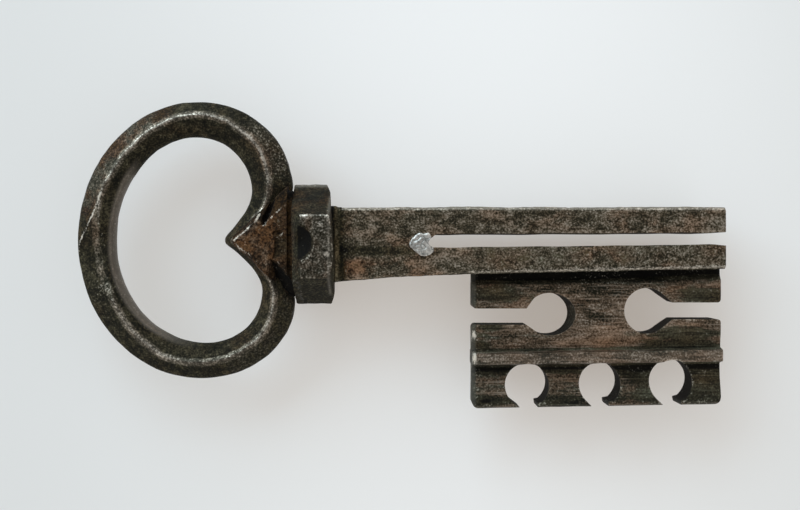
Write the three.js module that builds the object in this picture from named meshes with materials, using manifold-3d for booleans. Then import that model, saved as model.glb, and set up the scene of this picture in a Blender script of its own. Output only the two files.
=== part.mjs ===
// Antique forged iron gate key: kidney bow, neck, hexagonal collar, split shank and bit.
// Millimetres. The key lies flat in X and Y, +X runs from the collar to the tip of the
// shank, +Y is away from the bit, and +Z is the face that the photograph shows.
// X = 0 is near the middle of the collar, Y = 0 the axis of the shank, Z = 0 the mid-plane,
// until the last lines move the whole key onto its origin.

import * as THREE from 'three';
import Module from 'manifold-3d';
import { ConvexGeometry } from 'three/addons/geometries/ConvexGeometry.js';
import { mergeVertices } from 'three/addons/utils/BufferGeometryUtils.js';

// Driving dimensions

// Collar: a hexagonal sleeve with one flat on the front and one on the back
const collarLeftX = -4.15;
const collarLength = 7.65;
const collarAcrossCorners = 24.1;
const collarCornerFlat = 0.5;
const collarCentreY = -0.55;
const collarEdgeBevel = 0.2;
const collarChamfer = 0.45;
const collarLeftSkew = 0.017;
const collarRightSkew = 0.038;
const collarRightLean = 0.058;
const collarFlatBevelAlong = 2;
const collarFlatBevelDeep = 2.1;
const collarHollowWidth = 7.6;
const collarHollowDepth = 1.5;
const collarHollowInset = 0.6;
const boreWidth = 10.4;
const boreThickness = 9.4;

// Bow: a bar bent round into a kidney, its two ends meeting in a cusp
const bowReach = 18.95;
const bowLeftReach = 24.05;
const bowToCollarGap = 0.2;
const bowMiddleToCusp = 5.3;
const bowCuspY = 0.2;
const bowLeftBar = 7.65;
const bowThickness = 7.8;
const bowBarAtCusp = 4.4;
const bowEdgeThickness = 2.4;
const bowRidgeWidth = 1.5;
const bowWearReach = 12.5;
const bowWearDepth = 1.5;
const bowWearTilt = 12;
const bowWearY = -2.4;
const cuspFlankLength = 3.6;
const bowUpper = {
  side: 1,
  height: 27.9,
  shortBy: 0.3,
  lobe: 11.5,
  topBar: 7.05,
  rightBar: 8,
  innerLobe: 10,
  innerShift: -0.3,
  ridge: [0.56, 0.6, 0.45, 0.4],
  cuspFlank: [0.56, 0.83],
};
const bowLower = {
  side: -1,
  height: 27.3,
  shortBy: 0,
  lobe: 12.2,
  topBar: 7,
  rightBar: 6.3,
  innerLobe: 9.8,
  innerShift: 1.6,
  ridge: [0.56, 0.5, 0.4, 0.36],
  cuspFlank: [0.72, -0.69],
};

// Neck: a flat-faced wedge between the two ends of the bow, and its tenon
const cuspToNeckTip = 2.2;
const neckTipThickness = 7.9;
const neckFaceWidth = 16.6;
const neckThickness = 11.8;
const neckEdgeWidth = 21.4;
const neckEdgeThickness = 1.6;
const neckGroove = 0.85;
const neckGrooveWidth = 14.4;
const neckGrooveThickness = 10.2;
const tenonLength = 3.9;

// Shank: a square bar, slotted from its tip
const shankLength = 76.8;
const shankThickness = 13.2;
const shankTopY = 6.6;
const shankRootBottomY = -7.75;
const shankFlare = 25;
const shankWaistBottomY = -6.5;
const shankTipBottomY = -5.4;
const shankEdgeBevel = 0.5;
const shankTipBevel = 1;
const slotLength = 60.1;
const slotStartWidth = 2.65;
const slotEndWidth = 2.35;
const slotStartY = 0.1;
const slotEndY = 0.5;

// Bit: the plate that passes the wards, with a flat-topped rib across it
const bitLength = 49;
const bitTipGap = 0.2;
const bitLeftHeight = 26.3;
const bitRightHeight = 26.5;
const bitPlateThickness = 7.2;
const bitRootThickness = 5.6;
const bitRootDepth = 2.4;
const ribAboveFootLeft = 9.6;
const ribAboveFootRight = 9.5;
const ribWidth = 2.3;
const ribThickness = 10.2;
const ribFlank = 0.35;
const bitAboveRibThickness = 6.3;
const bitAboveRibFall = 3.8;
const bitHollowThickness = 5.6;
const bitHollowDrop = 1.5;
const bitFootThickness = 7.6;
const bitEdgeBevel = 0.8;
const tongueHeight = 2.4;
const tongueThickness = 4.6;

// Ward cuts: round holes open to the ends of the bit through slots, and round holes
// that the foot of the bit cuts open. Distances are from the left end of the bit and,
// down from the shank's waist, or up from the foot.
const sideCuts = [
  { along: 15.45, down: 7.75, radius: 4.15, slotDown: 8.1, slotWidth: 3.2, opens: -1 },
  { along: 34.4, down: 7.2, radius: 4.5, slotDown: 7.15, slotWidth: 3.3, opens: 1 },
];
const footCuts = [
  { along: 10.75, rise: 3.95, radius: 4.4 },
  { along: 25.15, rise: 3.95, radius: 4.2 },
  { along: 39.2, rise: 4.15, radius: 4.4 },
];

// Solder and brazing
const plugLength = 3;
const plugNotchDepth = 0.7;
const plugSpread = 2.4;
const plugShiftX = 0.95;
const plugShiftY = -0.75;
const plugStand = 0.2;
const plugSeat = 1.4;
const brazeRingWidth = 1.4;
const brazeRingHeight = 0.85;
const brazeFilm = 0.32;
const fitClearance = 0.02;

// Derived places
const roundSteps = 44;
const bowHalfSteps = 54;
const collarRightX = collarLeftX + collarLength;
const collarHalfFlats = (collarAcrossCorners / 2) * Math.cos(Math.PI / 6);
const bowMiddleX = collarLeftX - bowToCollarGap - bowReach;
const bowCuspX = bowMiddleX + bowMiddleToCusp;
const neckEndX = collarLeftX - neckGroove;
const neckTipX = bowCuspX + cuspToNeckTip;
const neckLength = neckEndX - neckTipX;
const shankTipX = collarRightX + shankLength;
const slotStartX = shankTipX - slotLength;
const slotOpenX = slotStartX + plugLength - plugNotchDepth;
const shankWaistX = collarRightX + shankFlare;
const bitRightX = shankTipX - bitTipGap;
const bitLeftX = bitRightX - bitLength;
const farAway = 60;

const wasm = await Module();
wasm.setup();

// Turns a three.js geometry into a solid that booleans work on
function solidOf(geometry) {
  const bare = geometry.index ? geometry.toNonIndexed() : geometry.clone();
  bare.deleteAttribute('normal');
  bare.deleteAttribute('uv');
  const merged = mergeVertices(bare, 1e-5);
  return new wasm.Manifold(new wasm.Mesh({
    numProp: 3,
    vertProperties: new Float32Array(merged.attributes.position.array),
    triVerts: new Uint32Array(merged.index.array),
  }));
}

// Triangles of a flat ring, found in the plane that it lies in
function capTriangles(ring) {
  const points = ring.map((p) => new THREE.Vector3(...p));
  const normal = new THREE.Vector3();
  points.forEach((p, i) => {
    normal.add(new THREE.Vector3().crossVectors(p, points[(i + 1) % points.length]));
  });
  normal.normalize();
  const side = new THREE.Vector3(1, 0, 0);
  if (Math.abs(normal.x) > 0.7) side.set(0, 1, 0);
  const u = new THREE.Vector3().crossVectors(side, normal).normalize();
  const v = new THREE.Vector3().crossVectors(normal, u);
  const flat = points.map((p) => new THREE.Vector2(p.dot(u), p.dot(v)));
  return THREE.ShapeUtils.triangulateShape(flat, []);
}

// Closed body through a row of rings with equal counts, each ring a list of [x, y, z]
function loft(rings) {
  const count = rings[0].length;
  const faces = [];
  for (let row = 0; row < rings.length - 1; row += 1) {
    for (let i = 0; i < count; i += 1) {
      const a = row * count + i;
      const b = row * count + ((i + 1) % count);
      faces.push([a, b, b + count], [a, b + count, a + count]);
    }
  }
  const last = (rings.length - 1) * count;
  for (const [a, b, c] of capTriangles(rings[0])) faces.push([a, c, b]);
  for (const [a, b, c] of capTriangles(rings.at(-1))) faces.push([last + a, last + b, last + c]);
  const geometry = new THREE.BufferGeometry();
  const positions = new THREE.Float32BufferAttribute(rings.flat(2), 3);
  geometry.setAttribute('position', positions);
  geometry.setIndex(faces.flat());
  const solid = solidOf(geometry);
  if (solid.volume() > 0) return solid;
  geometry.setIndex(faces.map(([a, b, c]) => [a, c, b]).flat());
  return solidOf(geometry);
}

// Places of the collar's two ends, which aren't quite square to the shank
function collarLeftAt(y) {
  return collarLeftX - collarLeftSkew * (y - collarCentreY);
}

function collarRightAt(y, z) {
  return collarRightX - collarRightSkew * (y - collarCentreY) + collarRightLean * z;
}

// All that lies to the right of a face that is given as x for each y
function rightOf(faceAt) {
  return loft([-farAway, farAway].map((y) => {
    const x = faceAt(y);
    return [[x, y, -farAway], [farAway * 2, y, -farAway], [farAway * 2, y, farAway], [x, y, farAway]];
  }));
}

function barAlongX(section, fromX, toX) {
  return loft([fromX, toX].map((x) => section.map(([y, z]) => [x, y, z])));
}

// Bar along Y whose section's x is counted from a face
function barAlongFace(faceAt, section) {
  return loft([-farAway, farAway].map((y) => section.map(([x, z]) => [faceAt(y) + x, y, z])));
}

function barAlongZ(outline, halfHeight) {
  return loft([-halfHeight, halfHeight].map((z) => outline.map(([x, y]) => [x, y, z])));
}

function box(low, high) {
  const section = [
    [low[1], low[2]],
    [high[1], low[2]],
    [high[1], high[2]],
    [low[1], high[2]],
  ];
  return barAlongX(section, low[0], high[0]);
}

function hull(points) {
  return solidOf(new ConvexGeometry(points.map((p) => new THREE.Vector3(...p))));
}

function circle(x, y, radius, steps = roundSteps) {
  const outline = [];
  for (let i = 0; i < steps; i += 1) {
    const angle = (2 * Math.PI * i) / steps;
    outline.push([x + radius * Math.cos(angle), y + radius * Math.sin(angle)]);
  }
  return outline;
}

// Rectangle in Y and Z with its four corners bevelled
function bevelledSection(bottom, top, thickness, bevel) {
  const half = thickness / 2;
  return [
    [bottom, -half + bevel],
    [bottom + bevel, -half],
    [top - bevel, -half],
    [top, -half + bevel],
    [top, half - bevel],
    [top - bevel, half],
    [bottom + bevel, half],
    [bottom, half - bevel],
  ];
}

// Bow

// Point on a quarter of an ellipse, from its end on the X axis (0) to its top (1)
function quarter(centreX, centreY, reachX, reachY, share) {
  const angle = (share * Math.PI) / 2;
  return [centreX + reachX * Math.cos(angle), centreY + reachY * Math.sin(angle)];
}

function cubic(a, b, c, d, t) {
  const s = 1 - t;
  return [0, 1].map((k) => (
    s ** 3 * a[k] + 3 * s * s * t * b[k] + 3 * s * t * t * c[k] + t ** 3 * d[k]
  ));
}

// A half of the bow runs from its left (share 0) over its top to its lobe and its cusp (1)
const topShare = 0.38;
const lobeShare = 0.72;

// Outer and inner edge of one half of the bow. Past the lobe the outer edge runs on into
// the neck, which is cut from it.
function bowEdges(half, share) {
  const { side } = half;
  const top = side * half.height;
  const innerTop = side * (half.height - half.topBar);
  const innerMiddleX = bowMiddleX + half.innerShift;
  const outerReach = bowReach - half.shortBy;
  const innerReach = outerReach - half.rightBar - half.innerShift;
  const innerLeft = bowLeftReach - bowLeftBar + half.innerShift;
  const lobeY = side * half.lobe;
  const innerLobeY = side * half.innerLobe;
  if (share < topShare) {
    const s = share / topShare;
    return {
      outer: quarter(bowMiddleX, bowCuspY, -bowLeftReach, top - bowCuspY, s),
      inner: quarter(innerMiddleX, bowCuspY, -innerLeft, innerTop - bowCuspY, s),
    };
  }
  if (share < lobeShare) {
    const s = 1 - (share - topShare) / (lobeShare - topShare);
    return {
      outer: quarter(bowMiddleX, lobeY, outerReach, top - lobeY, s),
      inner: quarter(innerMiddleX, innerLobeY, innerReach, innerTop - innerLobeY, s),
    };
  }
  const t = (share - lobeShare) / (1 - lobeShare);
  const fall = innerLobeY - bowCuspY;
  const innerStart = [innerMiddleX + innerReach, innerLobeY];
  const innerTurn = [innerStart[0], innerLobeY - fall * 0.42];
  const cuspTurn = [
    bowCuspX + half.cuspFlank[0] * cuspFlankLength,
    bowCuspY + half.cuspFlank[1] * cuspFlankLength,
  ];
  const outerStart = [bowMiddleX + outerReach, lobeY];
  const outerTurn = [outerStart[0], lobeY * 0.6];
  const outerEnd = [bowCuspX + bowBarAtCusp, bowCuspY];
  const endTurn = [outerEnd[0] + bowBarAtCusp * 0.6, bowCuspY + side * bowBarAtCusp * 0.6];
  return {
    outer: cubic(outerStart, outerTurn, endTurn, outerEnd, t),
    inner: cubic(innerStart, innerTurn, cuspTurn, [bowCuspX, bowCuspY], t),
  };
}

// Where the ridge lies across the bar, from the inner edge (0) to the outer edge (1)
function ridgeShareAt(half, share) {
  const stops = [0, topShare, lobeShare, 1];
  const row = stops.findIndex((stop) => share <= stop);
  if (row < 1) return half.ridge[0];
  const step = (share - stops[row - 1]) / (stops[row] - stops[row - 1]);
  const smooth = step * step * (3 - 2 * step);
  return half.ridge[row - 1] + (half.ridge[row] - half.ridge[row - 1]) * smooth;
}

// Lozenge with a rounded ridge on both faces and a narrow flat at both edges. Towards the
// cusp its outer slope levels out to the height of the ridge.
function bowRing(half, share) {
  const { outer, inner } = bowEdges(half, share);
  const width = Math.hypot(outer[0] - inner[0], outer[1] - inner[1]);
  const ridge = ridgeShareAt(half, share);
  const crown = Math.min(bowRidgeWidth / width, 0.4) / 2;
  const rise = bowThickness / 2;
  const edge = bowEdgeThickness / 2;
  const level = THREE.MathUtils.smoothstep(share, lobeShare + 0.06, 0.96);
  const outerEdge = edge + (rise * 0.96 - edge) * level;
  const face = [
    [0, edge],
    [ridge * 0.5, edge + (rise - edge) * 0.6],
    [ridge - crown, rise * 0.965],
    [ridge, rise],
    [ridge + crown, rise * 0.965],
    [ridge + (1 - ridge) * 0.5, outerEdge + (rise - outerEdge) * 0.6],
    [1, outerEdge],
  ];
  const back = face.map(([across, z]) => [across, -z]).reverse();
  return [...face, ...back].map(([across, z]) => [
    inner[0] + (outer[0] - inner[0]) * across,
    inner[1] + (outer[1] - inner[1]) * across,
    z,
  ]);
}

// What wear has taken off the front of the bow at its left: all that stands above a
// hollow that runs along Y and leans down towards the outer edge
function makeBowWear() {
  const rise = bowThickness / 2;
  const inwardX = bowMiddleX - bowLeftReach + bowLeftBar * 0.72;
  const steps = 12;
  const rings = [];
  for (let i = 0; i <= steps; i += 1) {
    const along = (i / steps) * 2 - 1;
    const low = rise - bowWearDepth * (1 - along * along);
    const y = bowWearY + along * bowWearReach;
    const fall = Math.tan(THREE.MathUtils.degToRad(bowWearTilt)) * bowLeftBar * 2;
    const section = [
      [inwardX, low],
      [inwardX, farAway],
      [inwardX - bowLeftBar * 2, farAway],
      [inwardX - bowLeftBar * 2, low - fall],
    ];
    rings.push(section.map(([x, z]) => [x, y, z]));
  }
  return loft(rings);
}

function makeBowBar() {
  const upper = [];
  const lower = [];
  for (let i = 0; i <= bowHalfSteps; i += 1) {
    upper.push(bowRing(bowUpper, i / bowHalfSteps));
    lower.push(bowRing(bowLower, i / bowHalfSteps));
  }
  return loft(upper).add(loft(lower)).subtract(makeBowWear());
}

// Neck

// The wedge, grown by a margin on every side but the collar's
function makeWedge(margin) {
  const points = [];
  for (const z of [-1, 1]) {
    const faceZ = z * (neckThickness / 2 + margin);
    const edgeZ = z * (neckEdgeThickness / 2 + margin);
    points.push([neckTipX - margin * 2, bowCuspY, z * (neckTipThickness / 2 + margin)]);
    for (const y of [-1, 1]) {
      points.push([neckEndX, y * (neckFaceWidth / 2 + margin) + bowCuspY, faceZ]);
      points.push([neckEndX, y * (neckEdgeWidth / 2 + margin) + bowCuspY, edgeZ]);
      points.push([neckTipX, y * (neckLength * 0.12 + margin) + bowCuspY, edgeZ]);
    }
  }
  return hull(points);
}

function boreSection(margin) {
  return bevelledSection(
    collarCentreY - boreWidth / 2 - margin,
    collarCentreY + boreWidth / 2 + margin,
    boreThickness + 2 * margin,
    0.6,
  );
}

function makeNeck() {
  const waist = bevelledSection(
    collarCentreY - neckGrooveWidth / 2,
    collarCentreY + neckGrooveWidth / 2,
    neckGrooveThickness,
    1,
  );
  const joined = neckGroove * 0.5;
  const collarSide = rightOf((y) => collarLeftAt(y) - fitClearance);
  return makeWedge(0)
    .add(barAlongX(waist, neckEndX - joined, collarLeftX + 1).subtract(collarSide))
    .add(barAlongX(boreSection(0), neckEndX, collarLeftX + tenonLength));
}

// Collar

// Corners of the hexagon, each cut to a narrow flat, as [y, z] about the collar's centre
function hexagonOutline(halfCorners) {
  const side = collarCornerFlat / 2 / Math.cos(Math.PI / 6);
  const outline = [];
  for (let k = 0; k < 6; k += 1) {
    const angle = (k * Math.PI) / 3;
    for (const turn of [-1, 1]) {
      const along = angle + turn * ((2 * Math.PI) / 3);
      outline.push([
        halfCorners * Math.cos(angle) + side * Math.cos(along),
        halfCorners * Math.sin(angle) + side * Math.sin(along),
      ]);
    }
  }
  return outline;
}

// Hexagon that lies a distance to the right of one of the collar's ends
function hexagonAt(faceAt, inset, shrink) {
  const outline = hexagonOutline(collarAcrossCorners / 2 - shrink);
  return outline.map(([y, z]) => [faceAt(collarCentreY + y, z) + inset, collarCentreY + y, z]);
}

// Cone that takes off the six corners at the right end, as on a nut
function makeChamferCone() {
  const corner = collarAcrossCorners / 2;
  const slope = (corner - collarHalfFlats) / collarChamfer;
  const ring = (inset) => {
    const radius = corner - slope * (inset + collarChamfer);
    return circle(0, 0, radius).map(([y, z]) => (
      [collarRightAt(collarCentreY + y, z) + inset, collarCentreY + y, z]
    ));
  };
  return loft([ring(-collarLength * 2), ring(collarChamfer)]);
}

// Ball that scoops a round hollow out of the collar's front flat, open towards the bow
function makeHollow() {
  const half = collarHollowWidth / 2;
  const radius = (half * half + collarHollowDepth * collarHollowDepth) / (2 * collarHollowDepth);
  const ball = new THREE.SphereGeometry(radius, 40, 28);
  ball.rotateX(Math.PI / 2);
  ball.translate(
    collarLeftX + collarHollowInset,
    collarCentreY + 0.75,
    collarHalfFlats - collarHollowDepth + radius,
  );
  return solidOf(ball);
}

function makeCollar() {
  const body = loft([
    hexagonAt(collarLeftAt, 0, collarEdgeBevel),
    hexagonAt(collarLeftAt, collarEdgeBevel * 0.6, 0),
    hexagonAt(collarRightAt, -collarEdgeBevel, 0),
    hexagonAt(collarRightAt, 0, collarEdgeBevel),
  ]);
  const bevel = (z) => barAlongFace(collarLeftAt, [
    [-1, z * (collarHalfFlats + 1)],
    [-1, z * (collarHalfFlats - collarFlatBevelDeep)],
    [0, z * (collarHalfFlats - collarFlatBevelDeep)],
    [collarFlatBevelAlong, z * collarHalfFlats],
    [collarFlatBevelAlong, z * (collarHalfFlats + 1)],
  ]);
  const bore = barAlongX(boreSection(fitClearance), collarLeftX - 1, collarRightX + 1);
  return body
    .intersect(makeChamferCone())
    .subtract(bevel(1))
    .subtract(bevel(-1))
    .subtract(makeHollow())
    .subtract(bore);
}

// Shank

// Underside of the shank, which flares towards the collar and tapers towards the tip
function shankBottomAt(x) {
  const fromWaist = (x - shankWaistX) / (shankTipX - shankWaistX);
  if (fromWaist > 0) {
    return shankWaistBottomY + (shankTipBottomY - shankWaistBottomY) * fromWaist;
  }
  const share = (shankWaistX - x) / shankFlare;
  return shankWaistBottomY + (shankRootBottomY - shankWaistBottomY) * share ** 1.4;
}

function shankRingAt(x, shrink) {
  const section = bevelledSection(
    shankBottomAt(x) + shrink,
    shankTopY - shrink,
    shankThickness - 2 * shrink,
    shankEdgeBevel,
  );
  return section.map(([y, z]) => [x, y, z]);
}

// The slot, grown sideways by a margin
function makeSlot(margin) {
  const end = (x, y, width) => [
    [x, y - width / 2 - margin, -farAway],
    [x, y + width / 2 + margin, -farAway],
    [x, y + width / 2 + margin, farAway],
    [x, y - width / 2 - margin, farAway],
  ];
  return loft([
    end(slotStartX - margin, slotStartY, slotStartWidth),
    end(shankTipX + 1, slotEndY, slotEndWidth),
  ]);
}

function makeShank() {
  const rings = [shankRingAt(collarRightX, 0).map(([, y, z]) => (
    [collarRightAt(y, z) + fitClearance, y, z]
  ))];
  const flareSteps = 8;
  for (let i = 1; i <= flareSteps; i += 1) {
    rings.push(shankRingAt(collarRightX + (shankFlare * i) / flareSteps, 0));
  }
  rings.push(shankRingAt(shankTipX - shankTipBevel, 0));
  rings.push(shankRingAt(shankTipX, shankTipBevel * 0.7));
  const spigotStart = collarLeftX + tenonLength + fitClearance;
  return loft(rings)
    .add(barAlongX(boreSection(0), spigotStart, collarRightX + 1))
    .subtract(makeSlot(0))
    .subtract(makeTongue(brazeFilm))
    .subtract(makePlugCaps(fitClearance));
}

// Bit

// Tongue of the bit in its groove under the shank, grown by a margin
function makeTongue(margin) {
  const half = tongueThickness / 2 + margin;
  const ring = (x) => {
    const top = shankBottomAt(x) + tongueHeight + margin;
    const bottom = shankBottomAt(x) - bitRootDepth * 0.5;
    return [[x, bottom, -half], [x, top, -half], [x, top, half], [x, bottom, half]];
  };
  return loft([ring(bitLeftX - margin), ring(margin > 0 ? shankTipX + 1 : bitRightX)]);
}

// Height of the foot of the bit, and of the middle of its rib
function footYAt(x) {
  const share = (x - bitLeftX) / bitLength;
  const left = shankBottomAt(bitLeftX) - bitLeftHeight;
  const right = shankBottomAt(bitRightX) - bitRightHeight;
  return left + (right - left) * share;
}

function ribYAt(x) {
  const share = (x - bitLeftX) / bitLength;
  return footYAt(x) + ribAboveFootLeft + (ribAboveFootRight - ribAboveFootLeft) * share;
}

// Profile of the bit from the shank down to its foot, as [y, half thickness]
function bitProfileAt(x) {
  const foot = footYAt(x);
  const root = shankBottomAt(x) - fitClearance;
  const ribTop = ribYAt(x) + ribWidth / 2;
  const ribBottom = ribYAt(x) - ribWidth / 2;
  const hollow = ribBottom - ribFlank - bitHollowDrop;
  const plate = bitPlateThickness / 2;
  const rib = ribThickness / 2;
  return [
    [root, bitRootThickness / 2],
    [root - bitRootDepth * 0.5, bitRootThickness / 2],
    [root - bitRootDepth, plate],
    [ribTop + ribFlank + bitAboveRibFall, plate],
    [ribTop + ribFlank, bitAboveRibThickness / 2],
    [ribTop, rib - ribFlank],
    [ribTop - ribFlank, rib],
    [ribBottom + ribFlank, rib],
    [ribBottom, rib - ribFlank],
    [ribBottom - ribFlank, bitHollowThickness / 2 + 0.35],
    [hollow, bitHollowThickness / 2],
    [(hollow + foot) / 2, bitHollowThickness / 2 + 0.25],
    [foot + bitEdgeBevel, bitFootThickness / 2],
    [foot, bitFootThickness / 2 - bitEdgeBevel],
  ];
}

function bitRingAt(x, shrink) {
  const profile = bitProfileAt(x);
  const lastPoint = profile.length - 1;
  const inset = profile.map(([y, half], i) => [i === lastPoint ? y + shrink : y, half - shrink]);
  const front = inset.map(([y, half]) => [x, y, half]);
  const back = inset.map(([y, half]) => [x, y, -half]).reverse();
  return [...front, ...back];
}

// Round hole with a slot that opens it to one end of the bit
function keyhole(cut) {
  const x = bitLeftX + cut.along;
  const slotY = shankWaistBottomY - cut.slotDown;
  const openX = cut.opens < 0 ? bitLeftX - 1 : bitRightX + 1;
  const slot = box(
    [Math.min(x, openX), slotY - cut.slotWidth / 2, -farAway],
    [Math.max(x, openX), slotY + cut.slotWidth / 2, farAway],
  );
  const round = circle(x, shankWaistBottomY - cut.down, cut.radius);
  return barAlongZ(round, farAway).add(slot);
}

function footCut(cut) {
  const x = bitLeftX + cut.along;
  return barAlongZ(circle(x, footYAt(x) + cut.rise, cut.radius), farAway);
}

function makeBit() {
  const blank = loft([
    bitRingAt(bitLeftX, bitEdgeBevel),
    bitRingAt(bitLeftX + bitEdgeBevel, 0),
    bitRingAt(bitRightX - bitEdgeBevel, 0),
    bitRingAt(bitRightX, bitEdgeBevel),
  ]);
  let bit = blank.add(makeTongue(0));
  for (const cut of sideCuts) bit = bit.subtract(keyhole(cut));
  for (const cut of footCuts) bit = bit.subtract(footCut(cut));
  return bit;
}

// Solder and braze

// Round caps of solder over the closed end of the slot, let into both faces of the shank
function makePlugCaps(margin) {
  const half = shankThickness / 2;
  const x = slotStartX + plugShiftX;
  const y = slotStartY + plugShiftY;
  const ring = (z, share) => (
    circle(x, y, plugSpread * share + margin, 20).map(([px, py]) => [px, py, z])
  );
  const cap = (side) => loft([
    ring(side * (half - plugSeat), 0.6),
    ring(side * (half - plugSeat / 2), 0.9),
    ring(side * half, 1),
    ring(side * (half + plugStand + margin), 0.82),
  ]);
  return cap(1).add(cap(-1));
}

// The open part of the slot, which starts with a round end
function makeOpenSlot() {
  const radius = slotStartWidth / 2;
  const middleX = slotOpenX + radius;
  const beyond = makeSlot(0).intersect(rightOf(() => middleX));
  return barAlongZ(circle(middleX, slotStartY, radius), farAway).add(beyond);
}

// The plug itself fills the slot from its closed end to where the photograph shows light
function makePlug() {
  const filled = box(
    [slotStartX + fitClearance, -farAway, -shankThickness / 2],
    [slotStartX + plugLength, farAway, shankThickness / 2],
  );
  return makeSlot(-fitClearance)
    .intersect(filled)
    .add(makePlugCaps(0))
    .subtract(makeOpenSlot());
}

// Fillet of brass in the corner between the collar and the shank
function makeCollarBraze() {
  const grown = (inset, out) => {
    const section = bevelledSection(
      shankBottomAt(collarRightX + inset) - out,
      shankTopY + out,
      shankThickness + 2 * out,
      shankEdgeBevel + out * 0.6,
    );
    return section.map(([y, z]) => [collarRightAt(y, z) + fitClearance + inset, y, z]);
  };
  const outer = loft([
    grown(0, brazeRingHeight),
    grown(brazeRingWidth * 0.4, brazeRingHeight * 0.5),
    grown(brazeRingWidth, fitClearance * 4),
  ]);
  const inner = loft([
    grown(-1, fitClearance),
    grown(brazeRingWidth + 1, fitClearance),
  ]);
  return outer.subtract(inner);
}

// Brass that holds the tongue of the bit in the groove of the shank
function makeBitBraze() {
  const lining = makeTongue(brazeFilm - fitClearance).subtract(makeTongue(fitClearance));
  const under = loft([bitLeftX - 1, shankTipX + 2].map((x) => {
    const y = shankBottomAt(x);
    return [[x, y - farAway, -farAway], [x, y, -farAway], [x, y, farAway], [x, y - farAway, farAway]];
  }));
  return lining.subtract(under).subtract(rightOf(() => bitRightX));
}

// Brass between the wedge of the neck and the two ends of the bow
function makeBowBraze(bar) {
  return makeWedge(brazeFilm - fitClearance)
    .subtract(makeWedge(fitClearance))
    .intersect(bar);
}

// Materials, one for each metal that the photograph shows
function metal(name, color, roughness, metalness) {
  return new THREE.MeshStandardMaterial({ name, color, roughness, metalness });
}
const forgedIron = metal('forged_iron', '#4f473d', 0.62, 0.75);
const filedIron = metal('filed_iron', '#5c5044', 0.55, 0.75);
const wornIron = metal('worn_iron', '#645f57', 0.5, 0.8);
const brazingBrass = metal('brazing_brass', '#6e6240', 0.5, 0.8);
const tinSolder = metal('tin_solder', '#a8a59d', 0.4, 0.85);

const key = new THREE.Group();
key.name = 'gate_key';

function addPiece(name, solid, material) {
  const { vertProperties, triVerts } = solid.getMesh();
  const geometry = new THREE.BufferGeometry();
  geometry.setAttribute('position', new THREE.BufferAttribute(new Float32Array(vertProperties), 3));
  geometry.setIndex(new THREE.BufferAttribute(new Uint32Array(triVerts), 1));
  geometry.computeVertexNormals();
  const mesh = new THREE.Mesh(geometry, material.clone());
  mesh.name = name;
  key.add(mesh);
}

const bowBar = makeBowBar().subtract(rightOf((y) => collarLeftAt(y) - fitClearance));

addPiece('bow_ring', bowBar.subtract(makeWedge(brazeFilm)), forgedIron);
addPiece('neck', makeNeck(), forgedIron);
addPiece('bow_braze', makeBowBraze(bowBar), brazingBrass);
addPiece('collar', makeCollar(), wornIron);
addPiece('collar_braze', makeCollarBraze(), brazingBrass);
addPiece('shank', makeShank(), forgedIron);
addPiece('bit', makeBit(), filedIron);
addPiece('bit_braze', makeBitBraze(), brazingBrass);
addPiece('slot_end_solder', makePlug(), tinSolder);

// The origin is under the middle of the key as it lies on its side
const bounds = new THREE.Box3().setFromObject(key);
const middle = bounds.getCenter(new THREE.Vector3());
key.position.set(-middle.x, -middle.y, -bounds.min.z);

export default key;
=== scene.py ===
# Old forged iron gate key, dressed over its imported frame.
# Measures are in millimetres about the key's own axes, as in the part's source: x runs
# along the shank from the collar, y away from the bit, z up to the camera. atRest turns
# them into the frame's metres.

import bmesh
import bpy
import numpy as np
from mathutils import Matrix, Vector


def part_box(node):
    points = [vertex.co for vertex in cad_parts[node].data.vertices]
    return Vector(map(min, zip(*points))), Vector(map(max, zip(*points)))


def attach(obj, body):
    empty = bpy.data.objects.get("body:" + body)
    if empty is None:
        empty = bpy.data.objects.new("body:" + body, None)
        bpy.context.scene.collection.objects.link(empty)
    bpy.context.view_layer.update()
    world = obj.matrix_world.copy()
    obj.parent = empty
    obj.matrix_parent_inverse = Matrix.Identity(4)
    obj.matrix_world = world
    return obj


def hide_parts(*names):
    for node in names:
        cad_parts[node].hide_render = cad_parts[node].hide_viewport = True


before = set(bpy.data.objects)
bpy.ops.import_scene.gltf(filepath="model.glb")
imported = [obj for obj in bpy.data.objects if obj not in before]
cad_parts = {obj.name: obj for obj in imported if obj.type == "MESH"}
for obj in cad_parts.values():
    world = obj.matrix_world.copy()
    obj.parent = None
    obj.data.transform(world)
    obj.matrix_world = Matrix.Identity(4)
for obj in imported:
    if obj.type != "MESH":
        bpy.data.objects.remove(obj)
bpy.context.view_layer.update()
print("frame loaded")

# Where the key's own axes lie in the frame: the tip of the shank, the top of the bow and
# the middle of the shank's thickness are taken from the nodes themselves
layout = {
    "shankTipX": 80.3,      # end of the shank
    "bowTopY": 27.9,        # highest point of the bow
    "midPlaneZ": 0.0,       # middle of the key's thickness
}
shankLow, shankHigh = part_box("shank")
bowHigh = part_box("bow_ring")[1]
restShift = np.array([
    shankHigh.x * 1000 - layout["shankTipX"],
    bowHigh.y * 1000 - layout["bowTopY"],
    (shankLow.z + shankHigh.z) * 500 - layout["midPlaneZ"],
])


# Millimetres about the key's axes, shifted onto the frame and divided by 1000
def atRest(places):
    return (np.asarray(places, float) + restShift) / 1000


# Shared by all the pieces
making = {
    "sharpAngle": 40.0,     # degrees, an edge sharper than this stays crisp
    "cutterReach": 8.0,     # mm to each side of the mid-plane, well past every face
    "waveCount": 26,        # sine waves in one sum of bumps
}


# Small maths helpers, all on whole arrays

# From a at t = 0 in a straight line to b at t = 1
def mix(a, b, t):
    return a + (b - a) * t


# 0 below low, 1 above high, and t * t * (3 - 2 t) between
def easeStep(low, high, value):
    t = np.clip((value - low) / (high - low), 0, 1)
    return t * t * (3 - 2 * t)


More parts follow.
